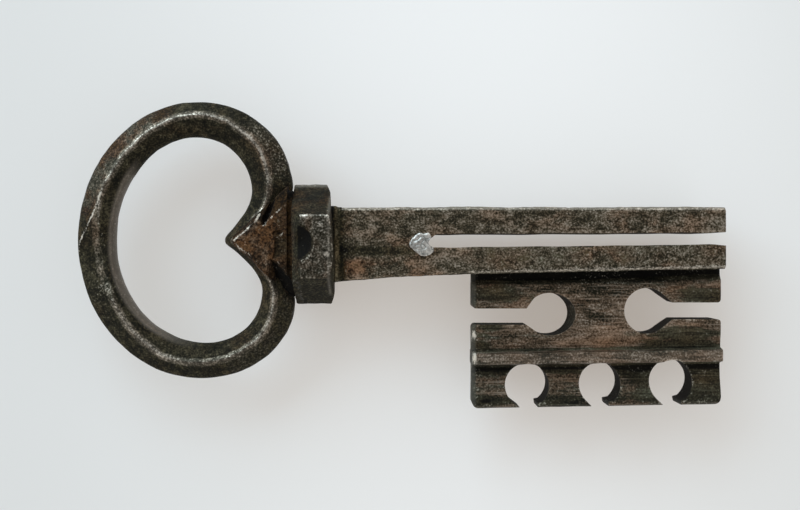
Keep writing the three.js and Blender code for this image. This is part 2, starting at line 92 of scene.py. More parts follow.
# Bell curve, exp(-((value - middle) / width) ^ 2)
def hump(value, middle, width):
    return np.exp(-(((value - middle) / width) ** 2))


# The smaller of a and b, with the corner between them rounded over about blend
def lowerOf(a, b, blend):
    return 0.5 * (a + b - np.sqrt((a - b) ** 2 + blend * blend))


# How far a rim drops at a distance from its edge: a quarter circle of the given radius
def rimDrop(distance, radius):
    d = np.clip(distance / radius, 0, 1)
    return radius * (1 - np.sqrt(np.clip(1 - (1 - d) ** 2, 0, 1)))


# Smooth bumps of about one size: the sum of many sine waves, each sin(k . p + phase)
# with a random direction and a length near size, scaled to a spread of one
def waves(places, size, seed):
    count = making["waveCount"]
    rng = np.random.default_rng(seed)
    direction = rng.normal(size=(count, 3))
    direction /= np.linalg.norm(direction, axis=1)[:, None]
    length = size * rng.uniform(0.7, 1.5, count)
    turn = direction * (2 * np.pi / length)[:, None]
    phase = rng.uniform(0, 2 * np.pi, count)
    flat = np.asarray(places, float).reshape(-1, 3)
    total = np.zeros(len(flat))
    for k in range(count):
        total += np.sin(flat @ turn[k] + phase[k])
    return (total * np.sqrt(2 / count)).reshape(np.shape(places)[:-1])


# Values at some places, in straight lines between the rows of a table. Its first column is
# the place, and each further column comes back as an array.
def between(table, places):
    columns = np.transpose(table)
    return [np.interp(places, columns[0], values) for values in columns[1:]]


# Distance to the nearest part of an open line through the given points
def fromLine(x, y, line):
    nearest = np.full(np.shape(x), np.inf)
    for (ax, ay), (bx, by) in zip(line[:-1], line[1:]):
        along = ((x - ax) * (bx - ax) + (y - ay) * (by - ay)) / ((bx - ax) ** 2 + (by - ay) ** 2)
        along = np.clip(along, 0, 1)
        nearest = np.minimum(nearest, np.hypot(x - ax - along * (bx - ax), y - ay - along * (by - ay)))
    return nearest


# Distance to the nearest side of a closed outline, negative outside it. A point is inside
# when a line from it towards +x crosses the outline an odd number of times.
def insideBy(x, y, outline):
    closed = [*outline, outline[0]]
    crossings = np.zeros(np.shape(x), int)
    for (ax, ay), (bx, by) in zip(closed[:-1], closed[1:]):
        if ay != by:
            crossings += ((ay > y) != (by > y)) & (x < ax + (y - ay) * (bx - ax) / (by - ay))
    nearest = fromLine(x, y, closed)
    return np.where(crossings % 2 == 1, nearest, -nearest)


# Closed rings from rows of points across the front: each row, then its mirror image behind
# it in reverse
def frontAndBack(front):
    return np.concatenate([front, front[:, ::-1] * np.array([1, 1, -1])], axis=1)


# A closed mesh from rings of points, one ring for each row: quads (i, j), (i, j + 1),
# (i + 1, j + 1), (i + 1, j) between neighbours, and one face over each end
def meshFrom(name, grid):
    rows, columns = grid.shape[:2]
    i, j = np.meshgrid(np.arange(rows - 1), np.arange(columns), indexing="ij")
    first, second = i * columns + j, i * columns + (j + 1) % columns
    faces = np.stack([first, second, second + columns, first + columns], axis=-1).reshape(-1, 4).tolist()
    faces.append(list(range(columns))[::-1])
    faces.append([(rows - 1) * columns + k for k in range(columns)])
    mesh = bpy.data.meshes.new(name)
    mesh.from_pydata(atRest(grid.reshape(-1, 3)).tolist(), [], faces)
    mesh.update()
    return mesh


# Turns every face of a closed mesh to point out of it
def outwards(mesh):
    work = bmesh.new()
    work.from_mesh(mesh)
    bmesh.ops.recalc_face_normals(work, faces=work.faces)
    if work.calc_volume(signed=True) < 0:
        bmesh.ops.reverse_faces(work, faces=work.faces)
    work.to_mesh(mesh)
    work.free()
    return mesh


# A new object in the scene with the given mesh, lamp or camera
def addObject(name, data):
    item = bpy.data.objects.new(name, data)
    bpy.context.scene.collection.objects.link(item)
    return item


# An object for a finished mesh, riding on the key and standing for CAD nodes. Each paint is
# a number from 0 to 1 for every point of the mesh, which the material reads by its name.
def addPiece(name, mesh, nodes, slot, material, **paints):
    for paint, values in paints.items():
        layer = mesh.attributes.new(paint, "FLOAT", "POINT")
        values = np.clip(values + np.zeros(len(mesh.vertices)), 0, 1)
        layer.data.foreach_set("value", values.astype(np.float32))
    piece = addObject(name, outwards(mesh))
    mesh.materials.clear()
    mesh.materials.append(material)
    mesh.shade_smooth()
    mesh.set_sharp_from_angle(angle=np.radians(making["sharpAngle"]))
    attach(piece, "root")
    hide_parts(*nodes)


# The mesh less the cutters, worked out once with Blender's boolean
def cutAway(mesh, cutters):
    body = addObject("cutBody", mesh)
    tools = [addObject(f"cutter{index}", outwards(cutter)) for index, cutter in enumerate(cutters)]
    for tool in tools:
        step = body.modifiers.new(tool.name, "BOOLEAN")
        step.operation = "DIFFERENCE"
        step.solver = "MANIFOLD"
        step.object = tool
    seen = body.evaluated_get(bpy.context.evaluated_depsgraph_get())
    result = bpy.data.meshes.new_from_object(seen)
    for item in [body, *tools]:
        old = item.data
        bpy.data.objects.remove(item)
        bpy.data.meshes.remove(old)
    return result


# The mesh's points as an array, in millimetres about the key's axes
def pointsOf(mesh):
    flat = np.zeros(len(mesh.vertices) * 3)
    mesh.vertices.foreach_get("co", flat)
    return flat.reshape(-1, 3) * 1000 - restShift


# A cutter right through the key, given how many rings it has and a function that gives its
# outline, a closed list of x and y, at a height
def cutterThrough(name, levels, outlineAt):
    reach = making["cutterReach"]
    heights = np.linspace(-reach, reach, levels)
    return meshFrom(name, np.stack([np.insert(outlineAt(z), 2, z, axis=1) for z in heights]))


# Closed outlines through moving corners, corners given as (stations, n, 2), each side cut
# into perSide steps, and each corner rounded by averaging along the outline
def ringThrough(corners, perSide, rounding):
    count = corners.shape[1]
    t = np.linspace(0, 1, perSide, endpoint=False)[None, None, :, None]
    following = np.roll(corners, -1, axis=1)
    ring = corners[:, :, None, :] * (1 - t) + following[:, :, None, :] * t
    ring = ring.reshape(len(corners), count * perSide, 2)
    for _ in range(rounding):
        ring = 0.5 * ring + 0.25 * (np.roll(ring, 1, axis=1) + np.roll(ring, -1, axis=1))
    return ring


# Materials

# An sRGB hex colour as linear RGBA
def toLinear(code):
    parts = np.array([int(code[k:k + 2], 16) for k in (1, 3, 5)]) / 255
    linear = np.where(parts <= 0.04045, parts / 12.92, ((parts + 0.055) / 1.055) ** 2.4)
    return (*linear.tolist(), 1.0)


# A shader node with its settings and its links. A link's value is an output socket, or a
# plain number or colour. Spaces in socket names are written as underscores, and _3 is the
# node's fourth socket.
def addNode(tree, kind, settings=None, **links):
    node = tree.nodes.new(kind)
    for key, value in (settings or {}).items():
        setattr(node, key, value)
    for key, value in links.items():
        socket = node.inputs[int(key[1:])] if key[1:].isdigit() else node.inputs[key.replace("_", " ")]
        if isinstance(value, bpy.types.NodeSocket):
            tree.links.new(value, socket)
        else:
            socket.default_value = value
    return node


# An empty material and its node tree
def newMaterial(name):
    material = bpy.data.materials.new(name)
    material.use_nodes = True
    material.node_tree.nodes.clear()
    return material, material.node_tree


# Old iron. Wrought iron that was forged, filed and then handled for centuries: a thin
# oxide over grey metal, rubbed through on the edges, with pits, a ragged black crust
# where no hand reaches, and brown where rust has stained it. To the eye that is a dense
# speckle of olive black, brown and grey a quarter of a millimetre across, cloudy over a
# few millimetres, with soft metal glints where it is worn, and a dull gloss. The crust
# also carries painted shade, and the polish and bared metal carry painted highlights.
agedLook = {
    "darkTone": "#1d1b15",
    "midTone": "#474138",
    "paleTone": "#8b857b",
    "stain": "#5e4938",     # hue of the brown areas
    "smoothTone": "#6e6a61",
    "bareMetal": "#c4bfb5",
    "crustTone": "#8f8e7b",  # what the crust and painted shade multiply the tone by
    "packedTone": "#4c4b42",    # and what packed dirt and deeper painted shade do where there is most of it
    "patchShare": 0.22,     # shares of the patches and the specks in the grain, the mottle
    "speckShare": 0.36,     # has the rest
    "speckSize": 0.38,      # mm, drawn a little coarser than real pits so that they show
    "mottleSize": 1.6,      # mm
    "patchSize": 6.0,       # mm
    "stretch": 1.5,         # the mottle is drawn out along the shank by this much
    "lineWidth": 0.30,      # mm, file marks, a little wider than real ones so that they show
    "lineLength": 9.0,      # mm
    "lines": 0.0,           # how strong the file marks are
    "contrast": 1.0,
    "roughness": 0.44,
    "metallic": 0.85,
    "gloss": 0.14,
    "relief": 0.02,         # mm
}


# Three sizes of grain together give the oxide its three tones. Over them lie, in this
# order: file marks, brown stain, crust, packed dirt, polish and bared metal. The crust
# and packed dirt also carry painted shade, and the polish and bared metal painted highlights.
def agedMetal(name, **changes):
    look = {**agedLook, **changes}
    material, tree = newMaterial(name)
    place = addNode(tree, "ShaderNodeTexCoord").outputs["Object"]
    wear, grime, rusty, polish = (
        addNode(tree, "ShaderNodeAttribute", {"attribute_name": paint}).outputs["Fac"]
        for paint in ("wear", "grime", "rusty", "polish")
    )
    # Four patterns: the size, how far it is drawn out, the detail and the roughness
    noises = []
    for size, stretch, detail, rough in (
        (look["speckSize"], 1, 1.5, 0.6),
        (look["mottleSize"], look["stretch"], 4.0, 0.7),
        (look["patchSize"], look["stretch"], 4.0, 0.65),
        (look["lineWidth"], look["lineLength"] / look["lineWidth"], 1.0, 0.5),
    ):
        inMm = addNode(
            tree, "ShaderNodeMapping", Vector=place, Scale=(1000 / stretch, 1000, 1000),
        ).outputs[0]
        noises.append(addNode(
            tree, "ShaderNodeTexNoise", Vector=inMm, Scale=1 / size, Detail=detail, Roughness=rough,
        ).outputs["Fac"])
    specks, mottle, patches, marks = noises

    # Sums by shares: the grain; how far the crust spreads, in ragged patches that join up
    # where there is most grime and painted shade; and how high the metal stands, whose tops
    # wear and painted highlights bare first
    mottleShare = 1 - look["patchShare"] - look["speckShare"]
    sums = []
    for parts in (
        ((patches, look["patchShare"]), (mottle, mottleShare), (specks, look["speckShare"])),
        ((patches, 0.4), (mottle, 0.6), (grime, 0.45)),
        ((mottle, 0.4), (specks, 0.6), (wear, 0.45)),
    ):
        total = 0.0
        for value, share in parts:
            total = addNode(
                tree, "ShaderNodeMath", {"operation": "MULTIPLY_ADD"}, _0=value, _1=share, _2=total,
            ).outputs[0]
        sums.append(total)
    grain, spread, high = sums

    # Where each layer starts and where it is full, and the most that it covers
    layers = []
    for value, start, full, most, kind in (
        (grain, 0.50 - 0.08 * look["contrast"], 0.50, 1.0, "LINEAR"),
        (grain, 0.50, 0.50 + 0.10 * look["contrast"], 1.0, "LINEAR"),
        (marks, 0.43, 0.31, 0.75 * look["lines"], "LINEAR"),
        (marks, 0.60, 0.72, 0.6 * look["lines"], "LINEAR"),
        (patches, 0.40, 0.58, 1.0, "SMOOTHSTEP"),
        (spread, 0.58, 0.70, 1.0, "SMOOTHSTEP"),
        (grime, 0.86, 1.0, 1.0, "LINEAR"),
        (high, 0.64, 0.98, 1.0, "SMOOTHSTEP"),
    ):
        layers.append(addNode(
            tree, "ShaderNodeMapRange", {"interpolation_type": kind, "clamp": True},
            Value=value, From_Min=start, From_Max=full, To_Max=most,
        ).outputs[0])
    lower, upper, darkMark, paleMark, stained, crust, packed, bare = layers
    stained = addNode(tree, "ShaderNodeMath", {"operation": "MULTIPLY"}, _0=stained, _1=rusty).outputs[0]

    # The stain keeps the grain's light and dark, and crust and packed dirt, with the painted
    # shade that they carry, darken it
    tone = toLinear(look["darkTone"])
    for share, blend, colour in (
        (lower, "MIX", "midTone"), (upper, "MIX", "paleTone"),
        (darkMark, "MIX", "darkTone"), (paleMark, "MIX", "paleTone"),
        (stained, "COLOR", "stain"), (crust, "MULTIPLY", "crustTone"),
        (packed, "MULTIPLY", "packedTone"), (polish, "MIX", "smoothTone"), (bare, "MIX", "bareMetal"),
    ):
        tone = addNode(
            tree, "ShaderNodeMix", {"data_type": "RGBA", "blend_type": blend},
            _0=share, _6=tone, _7=toLinear(look[colour]),
        ).outputs[2]
    rough, metal = look["roughness"], look["metallic"]
    for share, toRough, toMetal in ((crust, 0.35, -0.65), (bare, -0.1, 0.7)):
        rough = addNode(
            tree, "ShaderNodeMath", {"operation": "MULTIPLY_ADD"}, _0=share, _1=toRough, _2=rough,
        ).outputs[0]
        metal = addNode(
            tree, "ShaderNodeMath", {"operation": "MULTIPLY_ADD", "use_clamp": True},
            _0=share, _1=toMetal, _2=metal,
        ).outputs[0]
    relief = addNode(
        tree, "ShaderNodeBump", Strength=1.0, Distance=look["relief"] / 1000, Height=lower,
    ).outputs[0]
    shader = addNode(
        tree, "ShaderNodeBsdfPrincipled", Base_Color=tone, Roughness=rough, Metallic=metal, Normal=relief,
        Specular_IOR_Level=look["gloss"],
    ).outputs[0]
    addNode(tree, "ShaderNodeOutputMaterial", Surface=shader)
    return material


# Iron as the hammer left it, handled: the bow. It is the greenest and darkest of them.
forgedIron = agedMetal(
    "forgedIron", darkTone="#1a1a13", midTone="#403d34", paleTone="#7c766b", smoothTone="#7a736b",
    stretch=1.0,
)
# The same with brown rust in its pits: the neck
neckIron = agedMetal(
    "rustyForgedIron", darkTone="#1b150e", midTone="#403226", paleTone="#69594a", stain="#65482f",
    mottleSize=1.1, speckShare=0.28, contrast=0.8, stretch=1.0, roughness=0.6, metallic=0.7,
)
# Iron rubbed grey on its flats: the collar
collarIron = agedMetal(
    "rubbedIron", darkTone="#1c1b15", midTone="#3f3c34", paleTone="#77736a", smoothTone="#807b72",
    speckShare=0.42, mottleSize=1.3, stretch=1.0, contrast=1.1,
)
# Iron under an even brown-grey patina: the shank
shankIron = agedMetal(
    "patinatedIron", darkTone="#29271f", midTone="#524c3f", paleTone="#8c857a", smoothTone="#77736a",
    lines=0.2, mottleSize=1.4, patchShare=0.24, speckShare=0.37, contrast=0.8,
)
# Iron filed along its length, the marks half rubbed away: the bit
bitIron = agedMetal(
    "filedIron", darkTone="#1f1f18", midTone="#5e5245", paleTone="#9c9388", smoothTone="#5f5e58",
    crustTone="#7b857a", stretch=3.0, lines=0.8, patchShare=0.36, speckShare=0.30,
)
# Spelter brass run into a joint, dull and darkened
brazeBrass = agedMetal(
    "oldBrazingBrass", darkTone="#1b1b14", midTone="#403c2f", paleTone="#666050",
    stain="#5a4526", bareMetal="#9a8f68", stretch=0.35,
)
# Tin solder, set in wrinkles: pale grey with a soft gloss
tinSolder = agedMetal(
    "tinSolder", darkTone="#7f7f7d", midTone="#9f9f9d", paleTone="#c2c2bf", stain="#8d8375",
    bareMetal="#dcdcda", crustTone="#b4b5b3", packedTone="#8c8c88", speckSize=0.6, roughness=0.4,
    relief=0.01,
)
print("materials made")

# Bow: a bar bent round into a kidney, with a ridge along both faces

bow = {
    "middleX": -23.3,
    "leftReach": 24.05,
    "leftBar": 7.65,
    "cusp": (-18.0, 0.2),
    "thickness": 7.8,
    "edgeThickness": 2.6,
    "noseRound": 1.2,       # mm, how far from the cusp its tip is blunt
    "cuspPull": 3.6,        # mm, how far the inner edge keeps its direction from the cusp
    "topShare": 0.36,
    "lobeShare": 0.70,
    "barAtCusp": 4.4,
    "stations": 330,
    "across": 42,
    "ridgeRound": 0.08,     # share of the bar's width over which the ridge is rounded
    "crown": 0.9,           # power of the facets' slope, slightly full
    "atNeck": (0.84, 0.97), # shares over which the outer edge rises to meet the neck
    "rimRound": 0.95,       # mm, rounding of the inner rim
    "outerRim": 0.6,
    "forging": 0.035,       # mm, unevenness of the hammered bar
    # Along each half, from its left (0) to the cusp (1): how bright the ridge's rubbed line
    # with its painted highlight is, and the mottled band beside it
    "upper": {
        "side": 1, "height": 27.9, "reach": 18.65, "lobe": 11.5,
        "topBar": 7.05, "rightBar": 8.0, "innerLobe": 10.0, "innerShift": -0.3,
        "flank": (0.56, 0.83),
        "ridge": (
            (0, 0.45), (0.08, 0.48), (0.145, 0.43), (0.207, 0.445), (0.27, 0.50), (0.32, 0.57), (0.36, 0.60),
            (0.70, 0.475), (0.85, 0.50), (1, 0.55),
        ),
        "swell": ((0, -0.1), (0.3, -0.05), (0.45, 0), (0.66, 0), (0.70, 0.22), (0.76, 0.42), (1, 0)),
        "innerSwell": ((0, 0.12), (0.2, 0.1), (0.4, 0.16), (0.7, 0.08), (0.85, 0.3), (0.95, 0.3), (1, 0)),
        "rubbed": (
            (0, 0.1, 0.3), (0.09, 0.8, 0.3), (0.26, 0.9, 0.6), (0.32, 0.7, 0.8), (0.40, 0.55, 1.0),
            (0.47, 0.55, 1.0), (0.52, 0.9, 1.0), (0.60, 0.8, 0.9), (0.66, 0.5, 0.8), (0.76, 0.25, 0.7),
            (0.81, 0.8, 0.4), (0.88, 0.4, 0.2), (0.93, 0.0, 0.0), (1, 0.0, 0.0),
        ),
    },
    "lower": {
        "side": -1, "height": 27.3, "reach": 18.95, "lobe": 12.2,
        "topBar": 7.0, "rightBar": 6.3, "innerLobe": 9.8, "innerShift": 1.6,
        "flank": (0.72, -0.69),
        "ridge": (
            (0, 0.45), (0.12, 0.34), (0.2, 0.40), (0.28, 0.53), (0.36, 0.52), (0.70, 0.42),
            (0.85, 0.44), (1, 0.52),
        ),
        "swell": (
            (0, -0.1), (0.12, -0.22), (0.3, -0.12), (0.4, 0.12), (0.53, 0.34), (0.62, 0.25),
            (0.76, 0.5), (1, 0),
        ),
        "innerSwell": (
            (0, 0.1), (0.12, 0), (0.25, 0.18), (0.4, 0.1), (0.55, -0.1), (0.7, 0), (0.85, 0.3), (0.95, 0.4),
            (1, 0),
        ),
        "rubbed": (
            (0, 0.1, 0.3), (0.10, 0.25, 0.75), (0.20, 0.6, 1.0), (0.27, 0.8, 0.8), (0.36, 0.3, 0.7),
            (0.48, 0.3, 0.7), (0.56, 0.6, 0.7), (0.62, 0.9, 0.7), (0.70, 0.9, 0.4), (0.78, 0.6, 0.2),
            (0.86, 0.25, 0.4), (1, 0.3, 0.3),
        ),
    },
    # The flat that wear has left on the front at the bow's left: its least height at x = at,
    # its slope along x, its rise over a span of y, and its hollow rise below lowY
    "wornFlat": {
        "at": -42.0, "height": 2.35, "slope": 0.21,
        "rise": 1.5, "span": (-4.0, 6.5), "lowY": -2.4, "hollow": 0.0122,
        "rightX": -30.0, "round": 0.12,     # where it ends, and the rounding of its rim
    },
}


# Quarter of an ellipse: centre + (reachX cos a, reachY sin a), a from 0 to 90 degrees
def quarter(centreX, centreY, reachX, reachY, share):
    angle = share * np.pi / 2
    return np.stack([centreX + reachX * np.cos(angle), centreY + reachY * np.sin(angle)], -1)


# Cubic curve through a and d that leaves a towards b and reaches d from c
def bezier(a, b, c, d, t):
    a, b, c, d = (np.array(place, float) for place in (a, b, c, d))
    t = t[:, None]
    s = 1 - t
    return s ** 3 * a + 3 * s * s * t * b + 3 * s * t * t * c + t ** 3 * d


# Outer and inner edge of one half of the bow, as points for shares from its left (0) over
# its top to its lobe and the cusp (1): two quarter ellipses, then a cubic
def bowEdges(half, share):
    side = half["side"]
    top = side * half["height"]
    innerTop = side * (half["height"] - half["topBar"])
    innerMiddle = bow["middleX"] + half["innerShift"]
    innerReach = half["reach"] - half["rightBar"] - half["innerShift"]
    innerLeft = bow["leftReach"] - bow["leftBar"] + half["innerShift"]
    lobe, innerLobe = side * half["lobe"], side * half["innerLobe"]
    cuspX, cuspY = bow["cusp"]
    first = np.clip(share / bow["topShare"], 0, 1)
    outer = quarter(bow["middleX"], cuspY, -bow["leftReach"], top - cuspY, first)
    inner = quarter(innerMiddle, cuspY, -innerLeft, innerTop - cuspY, first)
    second = 1 - np.clip((share - bow["topShare"]) / (bow["lobeShare"] - bow["topShare"]), 0, 1)
    pastTop = (share > bow["topShare"])[:, None]
    outerArc = quarter(bow["middleX"], lobe, half["reach"], top - lobe, second)
    innerArc = quarter(innerMiddle, innerLobe, innerReach, innerTop - innerLobe, second)
    outer, inner = np.where(pastTop, outerArc, outer), np.where(pastTop, innerArc, inner)
    third = np.clip((share - bow["lobeShare"]) / (1 - bow["lobeShare"]), 0, 1)
    pastLobe = (share > bow["lobeShare"])[:, None]
    innerStart = (innerMiddle + innerReach, innerLobe)
    flankX, flankY = np.array(half["flank"]) * bow["cuspPull"]
    inner = np.where(pastLobe, bezier(
        innerStart, (innerStart[0], innerLobe - (innerLobe - cuspY) * 0.42),
        (cuspX + flankX, cuspY + flankY), (cuspX, cuspY), third,
    ), inner)
    outerStart = (bow["middleX"] + half["reach"], lobe)
    endX = cuspX + bow["barAtCusp"]
    outer = np.where(pastLobe, bezier(
        outerStart, (outerStart[0], lobe * 0.6),
        (endX + bow["barAtCusp"] * 0.6, cuspY + side * bow["barAtCusp"] * 0.6), (endX, cuspY), third,
    ), outer)
    # The hammered bar is a little fuller or thinner than the curves in places
    toOuter = outer - inner
    toOuter /= np.linalg.norm(toOuter, axis=1)[:, None]
    outer = outer + toOuter * between(half["swell"], share)[0][:, None]
    inner = inner - toOuter * between(half["innerSwell"], share)[0][:, None]
    # The tip of the cusp is blunt: x draws back to the tip as 1 - exp(-(distance / round) ^ 2)
    fromCusp = np.hypot(inner[:, 0] - cuspX, inner[:, 1] - cuspY)
    blunt = 1 - np.exp(-((fromCusp / bow["noseRound"]) ** 2))
    inner[:, 0] = cuspX + (inner[:, 0] - cuspX) * blunt
    return outer, inner


# One half of the bow: its points as a grid, shares along it by places round its section,
# and what the paint needs for each. Across the face, w from the inner edge (0) to the
# outer (1), the height is edge + (rise - edge) * roof, where roof climbs to 1 at the ridge
# from both sides, and both rims fall away as quarter circles.
def bowHalf(half):
    share = np.linspace(0, 1, bow["stations"])
    outer, inner = bowEdges(half, share)
    width = np.linalg.norm(outer - inner, axis=1)[:, None]
    even = np.linspace(0, 1, bow["across"])
    w = (0.6 * (0.5 - 0.5 * np.cos(even * np.pi)) + 0.4 * even)[None, :]
    alongBar = np.stack([outer[:, 0], outer[:, 1], 0 * share], -1)
    ridge = between(half["ridge"], share)[0]
    ridge = (ridge + 0.012 * waves(alongBar, 9.0, 11) + 0.006 * waves(alongBar, 3.0, 12))[:, None]
    rise, edge = bow["thickness"] / 2, bow["edgeThickness"] / 2
    roof = lowerOf(w / ridge, (1 - w) / (1 - ridge), bow["ridgeRound"]) + bow["ridgeRound"] / 2
    roof = np.clip(roof, 0, 1) ** bow["crown"]
    level = easeStep(*bow["atNeck"], share)[:, None]
    outerEdge = mix(edge, rise * 0.9, level)
    base = np.where(w < ridge, edge, outerEdge)
    height = mix(base, rise, roof)
    height = height - rimDrop(w * width, bow["rimRound"]) * edge / bow["rimRound"]
    height = height - rimDrop((1 - w) * width, bow["outerRim"]) * (1 - level)
    x = inner[:, 0, None] + (outer - inner)[:, 0, None] * w
    y = inner[:, 1, None] + (outer - inner)[:, 1, None] * w
    fromRidge = (w - ridge) * width
    line, band = (values[:, None] + 0 * w for values in between(half["rubbed"], share))
    notes = np.stack([fromRidge, line, band, w * width, share[:, None] + 0 * w], -1)
    notes = np.concatenate([notes, notes[:, ::-1]], axis=1)
    return frontAndBack(np.stack([x, y, height], -1)), notes


upperPoints, upperNotes = bowHalf(bow["upper"])
lowerPoints, lowerNotes = bowHalf(bow["lower"])
bowPoints = np.concatenate([upperPoints[::-1], lowerPoints[1:]])
bowNotes = np.concatenate([upperNotes[::-1], lowerNotes[1:]]).reshape(-1, 5)
flat = bow["wornFlat"]
x, y, unworn = np.moveaxis(bowPoints.copy(), -1, 0)
flatHeight = flat["height"] + flat["slope"] * (x - flat["at"]) + flat["rise"] * easeStep(*flat["span"], y) \
    + flat["hollow"] * np.clip(flat["lowY"] - y, 0, None) ** 2
atLeft = x < flat["rightX"]
bowPoints[..., 2] = np.where((unworn > 0) & atLeft, lowerOf(unworn, flatHeight, flat["round"]), unworn)
uneven = bow["forging"] * (waves(bowPoints, 9.0, 21) + 0.4 * waves(bowPoints, 2.5, 22))
away = bowPoints - bowPoints.mean(axis=1, keepdims=True)
away /= np.linalg.norm(away, axis=-1, keepdims=True)
bowPoints = bowPoints + away * (uneven[..., None] - 0.1)
bowMesh = meshFrom("forgedBow", bowPoints)

p = pointsOf(bowMesh)
x, y = p.T[:2]
fromRidge, line, band, fromInner, share = bowNotes.T
innerFacet = easeStep(-0.5, -1.1, fromRidge)
outerFacet = easeStep(0.5, 1.2, fromRidge)
upperLeft = easeStep(-24, -34, x) * easeStep(0, 10, y)
upperRight = easeStep(0.48, 0.54, share) * easeStep(0.72, 0.64, share) * (y > 0)
lowerRight = easeStep(-20, -14, x) * easeStep(-4, -8, y)
overNeck = easeStep(-13, -9, x) * easeStep(-4, 0, y)
besideNeck = easeStep(-14, -10, x) * hump(y, 0, 11)
# The flat's outline shows as a broken bright line above y = 2 and fades below it
overFlat = np.where(atLeft, unworn - flatHeight, -9).reshape(-1)
onFlat = easeStep(-0.05, 0.25, overFlat)
flatLine = hump(overFlat, 0.04, 0.09) * easeStep(-6, 2, y) * (0.6 + 0.4 * (fromRidge > -0.3))
broken = 0.85 + 0.2 * waves(p, 2.2, 32)
# Under the flat the facet shows bare specks
specks = hump(np.hypot(x + 42.0, (y + 10.5) * 0.8), 0, 3.0)
# Painted light on the inner rim at the left and the lower left: a smooth pale tone
handled = easeStep(-34, -38, x) + easeStep(0.36, 0.2, share) * (y < 0)
rubbedRim = easeStep(1.5, 0.5, fromInner) * np.clip(handled, 0, 1)
# On the ridge lies a mottled band, and in it a bright line: worn metal with a painted
# highlight
wear = 0.03 + 0.26 * band * hump(fromRidge, 0.1, 0.7) + 0.70 * line * hump(fromRidge, 0, 0.35) * broken
wear = wear * (1 - 0.8 * onFlat) + flatLine * 0.85 * broken + 0.08 * onFlat + 0.14 * rubbedRim \
    + 0.25 * upperRight * outerFacet + 0.16 * specks
# Painted light and shade on the facets: the inner ones darker, the outer ones lighter at the upper left,
# upper right and lower right and darker over the neck
addPiece(
    "forgedBow", bowMesh, ["bow_ring"], "forged_iron", forgedIron,
    wear=wear,
    polish=0.2 * (band + line) * hump(fromRidge, 0.1, 0.5) * (1 - onFlat) + 0.65 * rubbedRim,
    grime=(0.84 - 0.08 * upperLeft) * innerFacet * (1 - rubbedRim) + 0.04 * onFlat
    + (0.54 - 0.26 * upperLeft - 0.3 * upperRight - 0.14 * lowerRight + 0.1 * overNeck) * outerFacet,
    rusty=0.2 + 1.0 * outerFacet * upperLeft + 0.7 * besideNeck + 0.2 * waves(p, 9, 31),
)
print("bow made")

# Neck: a wedge between the two ends of the bow, with a flat, pitted face. Outlines are
# places on its face, and each mark is pressed or cut into it by its depth.

neck = {
    "tipX": -15.9,
    "endX": -3.9,
    "waistX": -5.05,        # where the groove before the collar starts
    "waistHalf": 10.4,
    "waistY": -0.55,
    "waistHeight": 5.0,
    "edgeHalf": (0.9, 10.7),
    "faceHeight": (3.95, 5.8),
    "fall": (0.42, 1.0),    # slope of its upper and its lower flank
    "leastHeight": 0.8,
    "rimRound": 0.7,
    "pits": (0.045, 0.02),  # mm, depth of the broad and the fine unevenness
    "centreY": 0.2,
    "face": (
        (-15.6, 0.15), (-14.8, 0.87), (-13.3, 2.0), (-12.2, 3.15), (-11.2, 3.95), (-10.2, 3.2),
        (-9.7, 3.05), (-8.1, 4.6), (-6.8, 5.75), (-5.5, 6.9), (-3.4, 8.3), (-3.4, -8.3),
        (-5.0, -6.6), (-7.0, -4.35), (-8.1, -3.7), (-9.0, -5.2), (-9.5, -7.3), (-10.4, -5.5),
        (-11.2, -4.0), (-12.8, -2.4), (-14.0, -1.75), (-15.1, -0.9),
    ),
    # Each: outline, depth and softness in mm, then how much crust with painted shade, and how
    # much rust there is
    "marks": (
        # the slit between the bow's end and the wedge
        (((-10.05, 3.25), (-9.5, 3.1), (-8.45, 5.1), (-7.55, 8.0), (-7.85, 8.5), (-8.45, 7.7), (-9.25, 6.1),
          (-10.05, 4.3)), 1.1, 0.14, 1.0, 0.0),
        # a dent, and a lower, cleaner recess beside the rust
        (((-8.0, 1.5), (-7.4, 1.98), (-6.4, 2.05), (-5.9, 1.6), (-6.6, 1.1), (-7.6, 1.05)),
         0.5, 0.2, 0.7, 0.0),
        (((-7.45, 0.7), (-5.1, 0.55), (-5.1, -2.4), (-6.15, -2.75), (-7.8, -3.4), (-7.45, -1.1)),
         0.35, 0.25, 0.5, -0.6),
        # the valley between the wedge and the bow's lower end
        (((-8.1, -3.7), (-6.95, -4.35), (-5.0, -6.6), (-3.5, -8.3), (-3.5, -11.5), (-7.4, -8.0),
          (-7.8, -5.3)),
         0.9, 0.4, 0.75, -0.4),
    ),
    # Rubbed edges: a line and how bright it is
    "brightLines": (
        (((-15.6, 0.15), (-14.8, 0.87), (-13.3, 2.0), (-12.2, 3.15), (-11.2, 3.95), (-10.55, 5.3)), 0.75),
        (((-15.6, 0.05), (-15.1, -0.9), (-14.0, -1.75), (-12.8, -2.4), (-11.2, -4.0)), 0.42),
        (((-9.7, 3.15), (-8.1, 4.7), (-6.8, 5.85), (-5.5, 7.0), (-3.7, 8.2)), 0.42),
        (((-7.95, 0.9), (-6.8, 0.8), (-5.7, 1.65)), 0.3),
        (((-6.8, -4.2), (-5.9, -5.2), (-5.1, -6.3)), 0.25),
    ),
    "stations": 170,
    "acrossFace": 190,
}


# Height of the neck's front over (x, y): a plane that climbs from its tip to its end, less
# the slope of the flanks outside its face, less its marks
def neckHeight(x, y):
    climb = (x - neck["tipX"]) / (neck["endX"] - neck["tipX"])
    low, high = neck["faceHeight"]
    height = low + (high - low) * climb
    outside = np.clip(-insideBy(x, y, neck["face"]), 0, None)
    fall = np.where(y > neck["centreY"], *neck["fall"])
    height = height - fall * (np.sqrt(outside ** 2 + 0.02) - 0.14)
    for outline, deep, soft, crust, rust in neck["marks"]:
        height = height - deep * easeStep(-soft, soft, insideBy(x, y, outline))
    height = np.where(x > neck["waistX"], np.minimum(height, neck["waistHeight"]), height)
    return np.clip(height, neck["leastHeight"], None)


